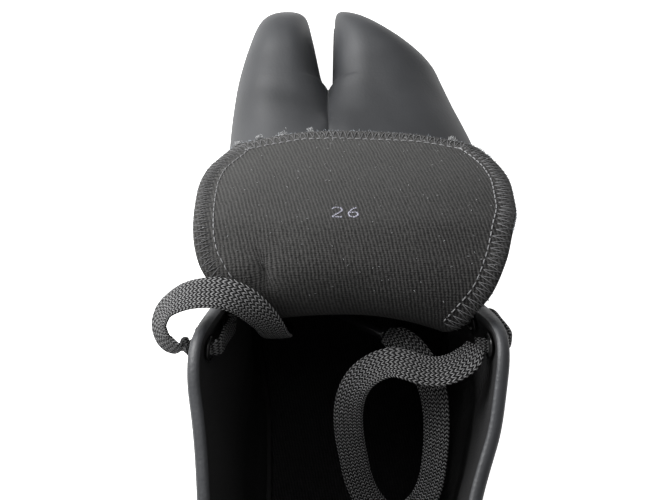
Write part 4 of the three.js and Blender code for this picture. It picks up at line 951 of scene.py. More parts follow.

# %% [markdown]
# ### Twill
#
# Twill shows slanted ribs because each thread skips one place further than the last. Two sine waves give
# ribs and crossing threads, and noise breaks them up as fluff does on worn cotton. On top, a gradient adds
# painted shade: the cloth is lighter towards the medial side and the toes, and darker towards the lateral
# side and the heel, in place of the light's fall-off.

# %% Twill as a node group
def twill_group():
    """Diagonal ribs with crossing threads. Height is its relief and Shade its colour, painted shade
    included.
    """
    tree, start, end = group(
        "twill",
        [
            ("Pitch", "NodeSocketFloat", 0.0011), ("Slant", "NodeSocketFloat", 0.2),
            ("PaintedShade", "NodeSocketFloat", 1.8),
        ],
        [("Height", "NodeSocketFloat"), ("Shade", "NodeSocketFloat")],
    )
    u, v = cloth_axes(tree)
    slanted = math_node(tree, "MULTIPLY", v, start.outputs["Slant"])
    rib_at = math_node(tree, "DIVIDE", math_node(tree, "ADD", u, slanted), start.outputs["Pitch"])
    wobble = node(tree, "ShaderNodeTexNoise", Scale=260.0, Detail=2.0)
    coords = tree.nodes.new("ShaderNodeTexCoord")
    tree.links.new(coords.outputs["Object"], wobble.inputs["Vector"])
    shifted = math_node(tree, "ADD", rib_at, math_node(tree, "MULTIPLY", wobble.outputs[0], 0.7))
    rib = math_node(tree, "SINE", math_node(tree, "MULTIPLY", shifted, 2 * math.pi))
    thread_at = math_node(tree, "DIVIDE", v, math_node(tree, "MULTIPLY", start.outputs["Pitch"], 0.55))
    thread = math_node(tree, "SINE", math_node(tree, "MULTIPLY", thread_at, 2 * math.pi))
    rib = math_node(tree, "MULTIPLY", rib, 0.55)
    height = math_node(tree, "ADD", rib, math_node(tree, "MULTIPLY", thread, 0.3))
    fuzz = node(tree, "ShaderNodeTexNoise", Scale=1500.0, Detail=3.0)
    tree.links.new(coords.outputs["Object"], fuzz.inputs["Vector"])
    rough = math_node(tree, "ADD", height, math_node(tree, "MULTIPLY", fuzz.outputs[0], 2.6))
    tree.links.new(rough, end.inputs["Height"])
    shade = math_node(tree, "MULTIPLY_ADD", rough, 0.2)
    shade.node.inputs[2].default_value = 0.22
    # Painted shade: lighter towards -x and +y, darker towards the lateral side and the heel, for the
    # light's fall-off.
    place = tree.nodes.new("ShaderNodeSeparateXYZ")
    tree.links.new(coords.outputs["Object"], place.inputs[0])
    across = math_node(tree, "MULTIPLY", place.outputs["X"], start.outputs["PaintedShade"])
    ahead = math_node(tree, "MULTIPLY", place.outputs["Y"], start.outputs["PaintedShade"])
    painted_shade = math_node(tree, "SUBTRACT", math_node(tree, "SUBTRACT", ahead, across), 0.22)
    shade = math_node(tree, "ADD", shade, painted_shade)
    tree.links.new(shade, end.inputs["Shade"])
    return tree

# %% [markdown]
# ### Knit
#
# A flat lace is knitted in narrow bands whose stitches lean to and fro, which reads as small V shapes. A
# ping-pong ramp across the lace leans the stitches, and the distance along it spaces them. The colour
# follows the relief: raised stitches get a painted highlight and the grooves between bands painted shade.

# %% Knit as a node group
def knit_group():
    """A flat herringbone knit: two or four bands of slanted stitches along the lace, with painted
    highlights.
    """
    tree, start, end = group(
        "herringbone knit",
        [("Pitch", "NodeSocketFloat", 0.00135), ("Bands", "NodeSocketFloat", 0.00066)],
        [("Height", "NodeSocketFloat"), ("Shade", "NodeSocketFloat")],
    )
    u, v = cloth_axes(tree)
    band_at = math_node(tree, "DIVIDE", u, start.outputs["Bands"])
    zigzag = math_node(tree, "PINGPONG", math_node(tree, "ADD", band_at, 40.0), 1.0)
    slant = math_node(tree, "MULTIPLY", zigzag, 0.7)
    stitch_at = math_node(tree, "ADD", math_node(tree, "DIVIDE", v, start.outputs["Pitch"]), slant)
    stitch = math_node(tree, "SINE", math_node(tree, "MULTIPLY", stitch_at, 2 * math.pi))
    lean = math_node(tree, "SUBTRACT", zigzag, 0.5)
    bulge = math_node(tree, "MULTIPLY", lean, lean)
    height = math_node(tree, "SUBTRACT", stitch, math_node(tree, "MULTIPLY", bulge, 4.0))
    coords = tree.nodes.new("ShaderNodeTexCoord")
    fuzz = node(tree, "ShaderNodeTexNoise", Scale=1700.0, Detail=2.0)
    tree.links.new(coords.outputs["Object"], fuzz.inputs["Vector"])
    rough = math_node(tree, "ADD", height, math_node(tree, "MULTIPLY", fuzz.outputs[0], 1.1))
    tree.links.new(rough, end.inputs["Height"])
    # Painted highlight and shade: the colour is light on the stitch crests and dark in the grooves.
    shade = math_node(tree, "MULTIPLY_ADD", rough, 0.25)
    shade.node.inputs[2].default_value = 0.3
    tree.links.new(shade, end.inputs["Shade"])
    return tree

# %% [markdown]
# ### Leather grain
#
# Smooth leather still has pores and cloudy patches. Small cells give the pores and a large soft noise the
# patches, which catch the light unevenly.

# %% Grain as a node group
def grain_group():
    """Fine leather grain with faint wrinkles, and larger cloudy marks for the colour."""
    tree, start, end = group(
        "leather grain",
        [("Size", "NodeSocketFloat", 900.0)],
        [("Height", "NodeSocketFloat"), ("Cloud", "NodeSocketFloat")],
    )
    coords = tree.nodes.new("ShaderNodeTexCoord")
    cells = node(tree, "ShaderNodeTexVoronoi")
    tree.links.new(coords.outputs["Object"], cells.inputs["Vector"])
    tree.links.new(start.outputs["Size"], cells.inputs["Scale"])
    soft = node(tree, "ShaderNodeTexNoise", Scale=320.0, Detail=4.0)
    tree.links.new(coords.outputs["Object"], soft.inputs["Vector"])
    tree.links.new(math_node(tree, "ADD", cells.outputs[0], soft.outputs[0]), end.inputs["Height"])
    cloud = node(tree, "ShaderNodeTexNoise", Scale=28.0, Detail=5.0)
    tree.links.new(coords.outputs["Object"], cloud.inputs["Vector"])
    tree.links.new(cloud.outputs[0], end.inputs["Cloud"])
    return tree


TWILL = twill_group()
KNIT = knit_group()
GRAIN = grain_group()

# %% [markdown]
# ### From pattern to surface
#
# Every finish is a dark and a light colour with a pattern between them, plus its own roughness. The
# pattern only bends colour and relief, so each surface can be read from one line.

# %% Build a material
def material(
    name, dark, light, tree, relief, distance, roughness, specular=0.5, sheen=0.0, shade="Shade", **values
):
    """A surface between two colours, shaded and raised by a node group."""
    made = bpy.data.materials.new(name)
    made.use_nodes = True
    nodes = made.node_tree
    shader = nodes.nodes["Principled BSDF"]
    shader.inputs["Roughness"].default_value = roughness
    shader.inputs["Specular IOR Level"].default_value = specular
    shader.inputs["Sheen Weight"].default_value = sheen
    shader.inputs["Sheen Roughness"].default_value = 0.6
    pattern = nodes.nodes.new("ShaderNodeGroup")
    pattern.node_tree = tree
    for key, value in values.items():
        pattern.inputs[key].default_value = value
    color = ramp(nodes, pattern.outputs[shade], (0.25, dark), (0.8, light))
    nodes.links.new(color, shader.inputs["Base Color"])
    bump = nodes.nodes.new("ShaderNodeBump")
    bump.inputs["Strength"].default_value = relief
    bump.inputs["Distance"].default_value = distance
    nodes.links.new(pattern.outputs["Height"], bump.inputs["Height"])
    nodes.links.new(bump.outputs[0], shader.inputs["Normal"])
    return made

# %% The finishes
LEATHER = material(
    "black leather", (0.016, 0.017, 0.019), (0.044, 0.046, 0.05), GRAIN, 0.25, 0.00012, 0.55, 0.5,
    shade="Cloud",
)
CUT_EDGE = material(
    "leather edge", (0.015, 0.016, 0.018), (0.045, 0.047, 0.052), GRAIN, 0.3, 0.0002, 0.5, shade="Cloud",
)
LINING = material(
    "lining", (0.006, 0.006, 0.0065), (0.014, 0.014, 0.015), GRAIN, 0.3, 0.0002, 0.9,
    shade="Cloud", Size=1600.0,
)
RUBBER = material(
    "black rubber", (0.009, 0.009, 0.009), (0.016, 0.016, 0.016), GRAIN, 0.15, 0.0001, 0.55, shade="Cloud",
)
# Both twill finishes carry the twill group's painted shade gradient.
TWILL_CLOTH = material(
    "black twill", (0.003, 0.003, 0.003), (0.068, 0.067, 0.065), TWILL, 0.6, 0.00022, 0.95, 0.2, 0.05,
)
FOOTBED = material(
    "footbed cloth", (0.01, 0.01, 0.011), (0.035, 0.035, 0.036), TWILL, 0.4, 0.0002, 0.95, 0.25,
)
# The lace's light colour is a painted highlight on the raised stitches of a black lace.
LACE = material(
    "knitted lace with painted highlights", (0.002, 0.002, 0.0022), (0.42, 0.42, 0.425), KNIT, 1.0, 0.00035, 0.75, 0.3,
)
THREAD = material(
    "thread", (0.1, 0.1, 0.102), (0.3, 0.3, 0.31), GRAIN, 0.3, 0.0001, 0.7, shade="Cloud",
)
DARK_THREAD = material(
    "dark thread", (0.012, 0.012, 0.012), (0.04, 0.04, 0.042), GRAIN, 0.3, 0.0001, 0.6, shade="Cloud",
)
ENAMEL = material(
    "black enamel", (0.008, 0.008, 0.008), (0.014, 0.014, 0.014), GRAIN, 0.03, 0.0001, 0.28, shade="Cloud",
)
FILM = material(
    "glossy film", (0.006, 0.006, 0.007), (0.012, 0.012, 0.013), GRAIN, 0.05, 0.0001, 0.16, shade="Cloud",
)
FRAY = material(
    "frayed edge", (0.08, 0.09, 0.1), (0.42, 0.46, 0.5), GRAIN, 0.2, 0.0001, 0.8, shade="Cloud",
)
LINT = material(
    "lint", (0.22, 0.23, 0.24), (0.5, 0.5, 0.5), GRAIN, 0.2, 0.0001, 0.8, shade="Cloud",
)
INK = material(
    "pale ink", (0.2, 0.2, 0.24), (0.42, 0.41, 0.5), GRAIN, 0.3, 0.0001, 0.8, shade="Cloud",
)
EDGE_THREAD = material(
    "edge thread", (0.03, 0.03, 0.031), (0.16, 0.16, 0.165), GRAIN, 0.3, 0.0001, 0.7, shade="Cloud",
)

# %% [markdown]
# ## The upper
#
# The leather is a bit over two millimetres thick. Modelling both sides by hand doubles the work, so the
# outer face is made as a sheet, and a Solidify modifier adds the inside, which becomes the lining.

# %% Upper as a mesh
upper_piece = make_object("upper_leather", upper_sheet.points, upper_sheet.faces)
dress(upper_piece, LEATHER, "leather", ("upper",))


def points_of(obj):
    flat = np.empty(len(obj.data.vertices) * 3)
    obj.data.vertices.foreach_get("co", flat)
    return flat.reshape(-1, 3) / MM


def normals_of(obj):
    flat = np.empty(len(obj.data.vertices) * 3)
    obj.data.vertex_normals.foreach_get("vector", flat)
    return flat.reshape(-1, 3)


def to_segment(points, start, end):
    """How far each point is from a straight segment, and its way along it."""
    run = end - start
    along = np.clip((points - start) @ run / (run @ run), 0, 1)
    return np.linalg.norm(points - (start + along[:, None] * run), axis=1), along

# %% [markdown]
# ## Soft folds in the leather
#
# Worn leather bends at the same places each time: across the ball, above the ankle, at the toes. Noise
# would spread folds everywhere, so each one is placed as a soft trough or ridge between two
# points, with its height and width.

# %% Folds placed one by one
CREASES = [
    ((24.4, 215, 31), (37, 197, 31), -1.3, 5.0), ((-29, 203, 36), (-18, 200, 40), -0.8, 4.5),
    ((-12.6, 189, 46), (-11, 186, 47), -1.2, 3.6), ((0, 226, 31), (0.4, 209, 36), 0.8, 4.5),
    ((-9.6, 186, 44), (0.4, 185, 45), 2.6, 6.5), ((27, 168, 38), (46, 158, 26), -1.0, 3.4),
    ((22, 177, 38), (44, 172, 24), -0.7, 3.0), ((-27, 166, 40), (-42, 155, 26), -1.0, 3.4),
    ((-25, 176, 38), (-41, 170, 25), -0.7, 3.0), ((-33, 218, 24), (-20, 222, 30), -0.9, 4.0),
    ((12, 224, 27), (34, 206, 24), 0.9, 3.6), ((14, 205, 36), (22, 190, 38), -0.8, 5.0),
    ((34, 92, 62), (37, 62, 72), -1.0, 5.0), ((-33, 95, 62), (-36, 62, 72), -1.0, 5.0),
    ((33, 84, 84), (35, 52, 90), 0.8, 6.0), ((-32, 84, 84), (-35, 52, 90), 0.8, 6.0),
    ((14, -22, 78), (-16, -22, 80), -0.7, 4.0),
]


def crease(obj):
    points = points_of(obj)
    moved = points.copy()
    normals = normals_of(obj)
    for start, end, height, wide in CREASES:
        off, along = to_segment(points, np.array(start, float), np.array(end, float))
        fade = 0.55 + 0.45 * np.sin(np.pi * along)
        moved += normals * (height * fade * np.exp(-((off / wide) ** 2)))[:, None]
    obj.data.vertices.foreach_set("co", (moved * MM).ravel())


crease(upper_piece)

# %% [markdown]
# ## The folded rim
#
# Around the collar and down the flaps the leather is folded in and sewn, so its rim looks thicker than
# the wall. A vertex group that fades out below the rim lets Solidify thicken just that band.

# %% Wall, rim and lining
EDGE_THICKNESS = 5.6
EDGE_FOLD = 4
folded = upper_piece.vertex_groups.new(name="folded edge")
rims = [np.asarray(shape.edge_line(side)) for side in SIDES]
for v, p in enumerate(points_of(upper_piece)):
    off = min(float(np.linalg.norm(rim - p, axis=1).min()) for rim in rims)
    folded.add([v], math.exp(-((off / EDGE_FOLD) ** 4)), "REPLACE")
upper_piece.data.materials.append(LINING)
upper_piece.data.materials.append(CUT_EDGE)
wall = upper_piece.modifiers.new("wall", "SOLIDIFY")
wall.thickness = EDGE_THICKNESS * MM
wall.vertex_group = "folded edge"
wall.thickness_vertex_group = WALL / EDGE_THICKNESS
wall.offset = -1
wall.use_even_offset = False
wall.material_offset = 1
wall.material_offset_rim = 2
soft = upper_piece.modifiers.new("soft", "SUBSURF")
soft.levels = 1
soft.render_levels = 1

# %% [markdown]
# ## The cup sole and footbed
#
# A cup sole is moulded rubber with a raised rim that the upper sits in. It is a stack of outlines: each
# ring is the plan moved inwards by some amount at some height. Stacking rings keeps the side's small
# steps sharp, which a bevelled block would lose. The split runs through it, as in the CAD.

# %% Stacked outlines
def platform(name, plan, rings, fill_bottom=True):
    points = []
    made = []
    for by, height in rings:
        loop = plan.inset(by)
        made.append(list(range(len(points), len(points) + len(loop))))
        points += [placed(p, height(p[1])) for p in loop]
    faces = plan.fill(made[0], False, rings[0][0]) if fill_bottom else []
    for low, high in zip(made, made[1:]):
        faces += wall_between(low, high)
    faces += plan.fill(made[-1], True, rings[-1][0])
    uv = [(points[v][0] * MM, points[v][1] * MM) for face in faces for v in face]
    return make_object(name, points, faces, uv)


def sole_step(y):
    return sole_bottom(y) + STEP_HEIGHT

# %% Sole and footbed
sole_plan = Plan(16, 16, 48)
sole_piece = platform(
    "sole_rubber",
    sole_plan,
    [
        (STEP_DEPTH, sole_bottom),
        (0.25, lambda y: sole_bottom(y) + 0.25),
        (0, lambda y: sole_bottom(y) + STEP_DEPTH),
        (0, lambda y: sole_step(y) - 0.3),
        (0.25, lambda y: sole_step(y) + 0.2),
        (STEP_DEPTH, lambda y: sole_step(y) + 0.5),
        (STEP_DEPTH, lambda y: sole_step(y) + 0.9),
        (0.6, lambda y: sole_step(y) + 1.3),
        (0.45, lambda y: mix(sole_step(y), rim_top(y), 0.5)),
        (0.5, lambda y: rim_top(y) - 0.9),
        (0.75, lambda y: rim_top(y) - 0.25),
        (1.1, rim_top),
        (RIM - 0.5, rim_top),
        (RIM, lambda y: rim_top(y) - 0.5),
        (RIM, lambda y: cup_floor(y) + 0.5),
        (RIM + 0.4, cup_floor),
    ],
)
dress(sole_piece, RUBBER, "rubber", ("sole",))
footbed = platform(
    "footbed",
    Plan(9, 8, 24),
    [
        (RIM + WALL + 1.8, lambda y: cup_floor(y) + 2 * CLEAR),
        (RIM + WALL + 1.8, lambda y: cup_floor(y) + INSOLE_THICKNESS * 0.7),
        (RIM + WALL + 2.7, lambda y: cup_floor(y) + INSOLE_THICKNESS),
    ],
)
dress(footbed, FOOTBED, "foam", ("insole",))

# %% [markdown]
# ## The tongue
#
# The tongue rises behind the lacing, then folds forward over the toes, so that its cloth underside lies
# up. A cloth simulation could drop it there, but no two runs would give the outline in the picture. The
# table holds its middle line and half widths instead, and listed soft folds are added.

# %% Middle line and width of the tongue
TONGUE_RUN = THROAT_BASE - COLLAR_FRONT
TONGUE_RISE = COLLAR_FRONT_HEIGHT - THROAT_HEIGHT
TONGUE_FOLDS = [
    (9.85, -0.56, 0.42, 0.05, 0.02, -1.7), (9.9, -0.78, 0.6, 0.17, 0.0, 1.3),
    (10.3, -0.3, 0.8, 0.2, 0.05, 0.7), (9.6, 0.25, 0.9, 0.3, 0.1, -0.8),
    (10.2, 0.72, 0.9, 0.2, -0.05, -0.7),
    (12.5, 0.1, 2.2, 0.35, 0.05, -0.5), (12.2, -0.72, 1.6, 0.22, 0.03, 0.7),
    (13.5, 0.7, 1.8, 0.25, -0.04, 0.6), (15.8, -0.35, 0.9, 0.12, 0.0, 0.3),
    (15.9, 0.15, 0.9, 0.14, 0.0, -0.3), (15.9, 0.55, 0.8, 0.12, 0.0, 0.35),
]
TONGUE_KEYS = {"row": list(range(len(TONGUE["y"]))), **TONGUE}


def tongue_line(r):
    """The middle line's place, and its way ahead, at a row of the table."""
    def at(q):
        y = read(TONGUE_KEYS, "row", "y", q)
        z = read(TONGUE_KEYS, "row", "z", q)
        return np.array([THROAT_BASE - y * TONGUE_RUN - HEEL_REST, THROAT_HEIGHT + z * TONGUE_RISE])
    last = len(TONGUE["y"]) - 1
    step = 0.25
    return at(r), unit(at(min(last, r + step)) - at(max(0, r - step)))


def tongue_relief(r, u):
    """Soft folds at listed places: row, share across, their reaches, slant and height."""
    total = 0.0
    for row, across, long, wide, slant, height in TONGUE_FOLDS:
        off = (u - across - slant * (r - row)) / wide
        total += height * math.exp(-(off**2) - ((r - row) / long) ** 2)
    return total


def tongue_point(r, u, lift=0.0):
    """A place on the tongue's table row r, from -1 at its inner to 1 at its outer side. lift goes
    from the middle of its thickness towards the side that lies up after the fold."""
    (y, z), ahead = tongue_line(r)
    half = TONGUE_HALF * read(TONGUE_KEYS, "row", "medial" if u < 0 else "lateral", r)
    curl = read(TONGUE_KEYS, "row", "curl_in" if u < 0 else "curl_out", r)
    lean = TONGUE_HALF * curl * u * u + tongue_relief(r, u) + lift
    back = TONGUE_RUN * read(TONGUE_KEYS, "row", "sag", r) * u * u
    y += -ahead[1] * lean - ahead[0] * back
    z += ahead[0] * lean - ahead[1] * back
    return np.array([u * half, y, z])

# %% The tongue's mesh
TONGUE_ROWS = 110
TONGUE_ACROSS = 56


def make_tongue():
    last = len(TONGUE["y"]) - 1
    points = []
    cloth = []
    reach = 0.0
    before = None
    for i in range(TONGUE_ROWS + 1):
        r = last * i / TONGUE_ROWS
        middle, _ = tongue_line(r)
        if before is not None:
            reach += float(np.linalg.norm(middle - before))
        before = middle
        for k in range(TONGUE_ACROSS + 1):
            u = 2 * k / TONGUE_ACROSS - 1
            p = tongue_point(r, u, -TONGUE_THICKNESS / 2)
            points.append(p)
            cloth.append((p[0] * MM, reach * MM))
    faces = []
    wide = TONGUE_ACROSS + 1
    for i in range(TONGUE_ROWS):
        for k in range(TONGUE_ACROSS):
            a = i * wide + k
            faces.append([a + wide, a + wide + 1, a + 1, a])
    uv = [cloth[v] for face in faces for v in face]
    obj = make_object("tongue_twill", points, faces, uv)
    thick = obj.modifiers.new("thick", "SOLIDIFY")
    thick.thickness = TONGUE_THICKNESS * MM
    thick.offset = -1
    return obj


tongue_piece = make_tongue()
dress(tongue_piece, TWILL_CLOTH, "twill", ("tongue",))
round_edge = tongue_piece.modifiers.new("round", "SUBSURF")
round_edge.levels = 1
round_edge.render_levels = 1

# %% [markdown]
# ## Eyelets and lace
#
# Seven pairs of small enamelled rings line the flaps. Each is a barrel with a flange, so it is turned
# from a profile. The lace comes up from below through the first pair, crosses over the tongue five times,
# runs up under the last holes and leaves them as two free ends.

# %% Eyelets and how far the lace stands off
EYELET_STAND = WALL / 2 + 3 * CLEAR
OUTSIDE_STAND = 5.5 * CLEAR + EYELET_PLATE + LACE_THICKNESS / 2
INSIDE_STAND = WALL + OUTSIDE_STAND
FACE_STAND = 4 * CLEAR + LACE_THICKNESS / 2


def make_eyelet(side, pair):
    point, normal = at_eyelet(side, pair, -WALL / 2)
    barrel = EYELET_HOLE + EYELET_BARREL
    top = EYELET_STAND + EYELET_PLATE
    mid = (EYELET_HOLE + EYELET_FLANGE) / 2
    profile = [
        (EYELET_HOLE, -top), (barrel, -top - 0.1), (barrel + 1.0, -top + 0.2),
        (barrel + 1.1, -EYELET_STAND),
        (barrel, -EYELET_STAND), (barrel, EYELET_STAND), (EYELET_FLANGE - 0.3, EYELET_STAND - 0.1),
        (EYELET_FLANGE, EYELET_STAND + 0.15), (EYELET_FLANGE - 0.35, EYELET_STAND + 0.5),
        (mid, top), (EYELET_HOLE + 0.25, top - 0.15), (EYELET_HOLE, EYELET_STAND),
    ]
    ring = lathe(f"ring_{side}_{pair + 1}", profile, (point, normal), 28)
    return dress(ring, ENAMEL, "enamel", (f"eyelet_{side}_{pair + 1}",))


for side in ("medial", "lateral"):
    for pair in range(EYELET_PAIRS):
        make_eyelet(side, pair)

# %% [markdown]
# ### Crossed lace
#
# Each crossing has one arm above the other. An arm leaves its eyelet, rides over the flap's rounded edge,
# crosses the tongue and dives under the other flap. All arms share one route with named squeezes.

# %% Arms of the crossings
THROAT_FACE = unit(np.array([0, COLLAR_FRONT_HEIGHT - THROAT_HEIGHT, THROAT_BASE - COLLAR_FRONT]))
THROUGH = (0.52, 1.9)
NEAR_HOLE = (0.8, 1.2)
# Places along the edge from the eyelet that an arm leaves, in pairs of eyelets.
OVER_EDGE = 0.12
ROUND_EDGE = 0.2
LANDING = 0.86
CROSS_LIFT = 0.6
OVER_SHARE = 0.75
BAR_RISE = 3.2


def round_edge_point(side, pair):
    inner, normal = on_flap(side, pair_reach(side, pair), EDGE_DEPTH)
    edge = flap_point(side, pair_reach(side, pair), 0)
    outward = unit(edge - inner)
    return edge + outward * (FACE_STAND + 2 * CLEAR), unit(outward + normal)


def cross_arm(name, one, other, pair, over, node_name):
    """Out through an eyelet, over the edge, across, and in behind the next eyelet of the other side."""
    inside = at_eyelet(one, pair, -INSIDE_STAND)
    hole = at_eyelet(one, pair, -WALL / 2)
    start = at_eyelet(one, pair + 0.02, OUTSIDE_STAND)
    edge = near_edge(one, pair + OVER_EDGE, FACE_STAND)
    bend = round_edge_point(one, pair + ROUND_EDGE)
    landing = near_edge(other, pair + LANDING, -INSIDE_STAND)
    end = at_eyelet(other, pair + 1, -INSIDE_STAND)
    middle = mix(bend[0], landing[0], 0.5) + THROAT_FACE * (CROSS_LIFT + over)
    ahead = unit(edge[0] - start[0])
    route = [
        (inside[0], -ahead), (hole[0], -ahead), (start[0] - ahead * 1.0 + start[1] * 0.2, start[1] - ahead),
        (mix(start[0], edge[0], 0.5), start[1]), edge, bend, (middle, THROAT_FACE), landing, end,
    ]
    squeeze = [THROUGH, THROUGH, NEAR_HOLE, (1, 1), (1, 1), (1, 1), (1, 1), (1, 1), NEAR_HOLE]
    obj, _, _ = ribbon(name, route, LACE_DRAWN, 60, squeeze=squeeze)
    return dress(obj, LACE, "lace", (node_name,) if node_name else ())


for pair in range(EYELET_PAIRS - 2):
    cross_arm(f"lace_over_{pair + 1}", "medial", "lateral", pair, 0, f"lace_cross_{pair + 1}")
    cross_arm(f"lace_under_{pair + 1}", "lateral", "medial", pair, LACE_THICKNESS * OVER_SHARE, None)

bar_middle = mix(near_edge("medial", 0, -INSIDE_STAND)[0], near_edge("lateral", 0, -INSIDE_STAND)[0], 0.5)
bar_route = [
    at_eyelet("medial", 0, -INSIDE_STAND), near_edge("medial", 0, -INSIDE_STAND),
    (bar_middle + THROAT_FACE * BAR_RISE, THROAT_FACE),
    near_edge("lateral", 0, -INSIDE_STAND), at_eyelet("lateral", 0, -INSIDE_STAND),
]
bar, _, _ = ribbon("lace_start", bar_route, LACE_DRAWN, 40)
dress(bar, LACE, "lace", ("lace_bar",))

# %% Up to the top eyelets
def run_up(side, sign, name, node_name, first_of_end):
    """From the last crossing's eyelet up to the top one, and through it to the free end."""
    pair = EYELET_PAIRS - 2
    stand = OUTSIDE_STAND if sign > 0 else -INSIDE_STAND
    low = at_eyelet(side, pair, stand)
    half = at_eyelet(side, pair + 0.5, stand)
    high = at_eyelet(side, pair + 0.93, stand)
    hole = at_eyelet(side, pair + 1, -WALL / 2)
    start = at_eyelet(side, pair, -WALL / 2)
    along = unit(high[0] - low[0])
    back = -sign
    end_point = np.asarray(first_of_end[0], float)
    end_face = np.asarray(first_of_end[1], float)
    route = [
        (start[0], along * -1.0) if sign > 0 else (low[0] - along * 1.5, low[1]),
        low, half, high, (hole[0], along * back * -1.0), (end_point, end_face),
    ]
    first = [THROUGH, NEAR_HOLE] if sign > 0 else [(1, 1), (1, 1)]
    squeeze = first + [(1, 1), NEAR_HOLE, THROUGH, (0.8, 1.3)]
    obj, _, _ = ribbon(name, route, LACE_DRAWN, 50, squeeze=squeeze)
    return dress(obj, LACE, "lace", (node_name,))


run_up("medial", -1, "lace_up_medial", "lace_run_medial", LACE_LEFT[0])
run_up("lateral", 1, "lace_up_lateral", "lace_run_lateral", LACE_RIGHT[0])

# %% [markdown]
# ### Free ends
#
# Both ends are loose. The left one turns back over the tongue's neck, and the right one hangs in a loop
# inside the shaft. Their routes follow the picture, point by point. Each carries a glossy tip.

# %% The two free ends
def free_end(name, route, node_name, aglet_node):
    squeeze = [(0.75, 1.35)] + [(1, 1)] * (len(route) - 2) + [(0.62, 1.5)]
    obj, curve, length = ribbon(name, route, LACE_WIDTH, int(len(route) * 12), squeeze=squeeze)
    dress(obj, LACE, "lace", (node_name,))
    end = np.asarray(route[-1][0], float)
    ahead = unit(end - np.asarray(route[-2][0], float))
    tip = [(0.9, 0), (1.0, 0.02), (1.0, 0.5), (0.97, 0.9), (0.88, 0.97), (0.5, 1.0), (0.02, 1.0), (0.02, 0)]
    profile = [(AGLET_RADIUS * r, CLEAR + AGLET_LENGTH * h) for r, h in tip]
    aglet = lathe(aglet_node.replace("aglet", "lace_tip"), profile, (end, ahead), 24)
    dress(aglet, FILM, "film", (aglet_node,))
    path = [tuple(float(c) * MM for c in curve.at(i / 60)) for i in range(61)]
    return obj


free_end("lace_free_left", LACE_LEFT, "lace_end_left", "aglet_left")
free_end("lace_free_right", LACE_RIGHT, "lace_end_right", "aglet_right")

# %% [markdown]
# ## Threads
#
# Seams, frayed fibres and lint are all short thin rods. Hair particles could draw them, but they are not
# part of a mesh. `Threads` collects bent rods with few sides in one object each.

# %% Thin rods as one mesh
class Threads:
    """Collects thin rods along short paths, with few sides, into one mesh."""

    def __init__(self, sides=5):
        self.sides = sides
        self.points = []
        self.faces = []

    def add(self, path, radius, swell=0.5):
        path = [np.asarray(p, float) for p in path]
        last = len(path) - 1
        rings = []
        for i, at in enumerate(path):
            ahead = unit(path[min(last, i + 1)] - path[max(0, i - 1)])
            side = unit(np.cross(ahead, (0.31, 0.17, 0.93)))
            up = np.cross(side, ahead)
            thick = radius * (swell + (1 - swell) * math.sin(math.pi * (i + 0.5) / (last + 1)))
            start = len(self.points)
            for n in range(self.sides):
                turn = n / self.sides * 2 * math.pi
                self.points.append(at + thick * (math.cos(turn) * side + math.sin(turn) * up))
            rings.append(start)
        for a, b in zip(rings, rings[1:]):
            for n in range(self.sides):
                m = (n + 1) % self.sides
                self.faces.append([a + n, b + n, b + m, a + m])
        self.faces.append([rings[0] + n for n in range(self.sides)])
        self.faces.append([rings[-1] + n for n in range(self.sides - 1, -1, -1)])

    def object(self, name, look, slot):
        made = make_object(name, self.points, self.faces)
        return dress(made, look, slot)

# %% A row of stitches
def seam(threads, line, length, gap, radius, dip):
    """Straight stitches along a line of point and normal pairs."""
    points = np.array([p for p, _ in line])
    normals = np.array([n for _, n in line])
    reach = np.concatenate([[0], np.cumsum(np.linalg.norm(np.diff(points, axis=0), axis=1))])

    def at(s, by):
        p = np.array([np.interp(s, reach, points[:, k]) for k in range(3)])
        n = np.array([np.interp(s, reach, normals[:, k]) for k in range(3)])
        return p + unit(n) * by

    s = gap
    while s + length < reach[-1]:
        threads.add(
            [at(s, -dip), at(s + length * 0.15, radius * 0.5), at(s + length * 0.5, radius * 0.9),
             at(s + length * 0.85, radius * 0.5), at(s + length, -dip)], radius,
        )
        s += length + gap


# %% [markdown]
# ## The tongue's edge
#
# The tongue's lining is finished with a zigzag of overlock thread, with a row of plain stitches inside
# it. On the picture this band follows the free edge and both sides. To place it, the border is walked as
# a line, and a small solve finds the spot that lies a given depth in from it along the cloth.

# %% The border and how to step in from it
FIRST_EDGE_ROW = 7.6


def tongue_border(step=0.04):
    """The visible border from the inner side round the free edge to the outer side, as row and u."""
    last = len(TONGUE["y"]) - 1
    rows = np.arange(FIRST_EDGE_ROW, last - 0.3, step * 2)
    border = [(r, -1.0) for r in rows]
    border += [(last, u) for u in np.arange(-1, 1.0001, step)]
    border += [(r, 1.0) for r in rows[::-1]]
    return border


def tongue_normal(r, u):
    last = len(TONGUE["y"]) - 1
    fore = tongue_point(min(last, r + 0.2), u) - tongue_point(r - 0.2, u)
    side = tongue_point(r, min(1, u + 0.05)) - tongue_point(r, max(-1, u - 0.05))
    return unit(np.cross(side, fore))


def on_tongue(r, u, by):
    return tongue_point(r, u) + tongue_normal(r, u) * (TONGUE_THICKNESS / 2 + by)


border = tongue_border()
edge_points = np.array([on_tongue(r, u, 0) for r, u in border])
edge_reach_mm = np.concatenate([[0], np.cumsum(np.linalg.norm(np.diff(edge_points, axis=0), axis=1))])
print("tongue border", round(float(edge_reach_mm[-1])), "mm")


def border_at(s):
    rows = np.array(border)
    return float(np.interp(s, edge_reach_mm, rows[:, 0])), float(np.interp(s, edge_reach_mm, rows[:, 1]))


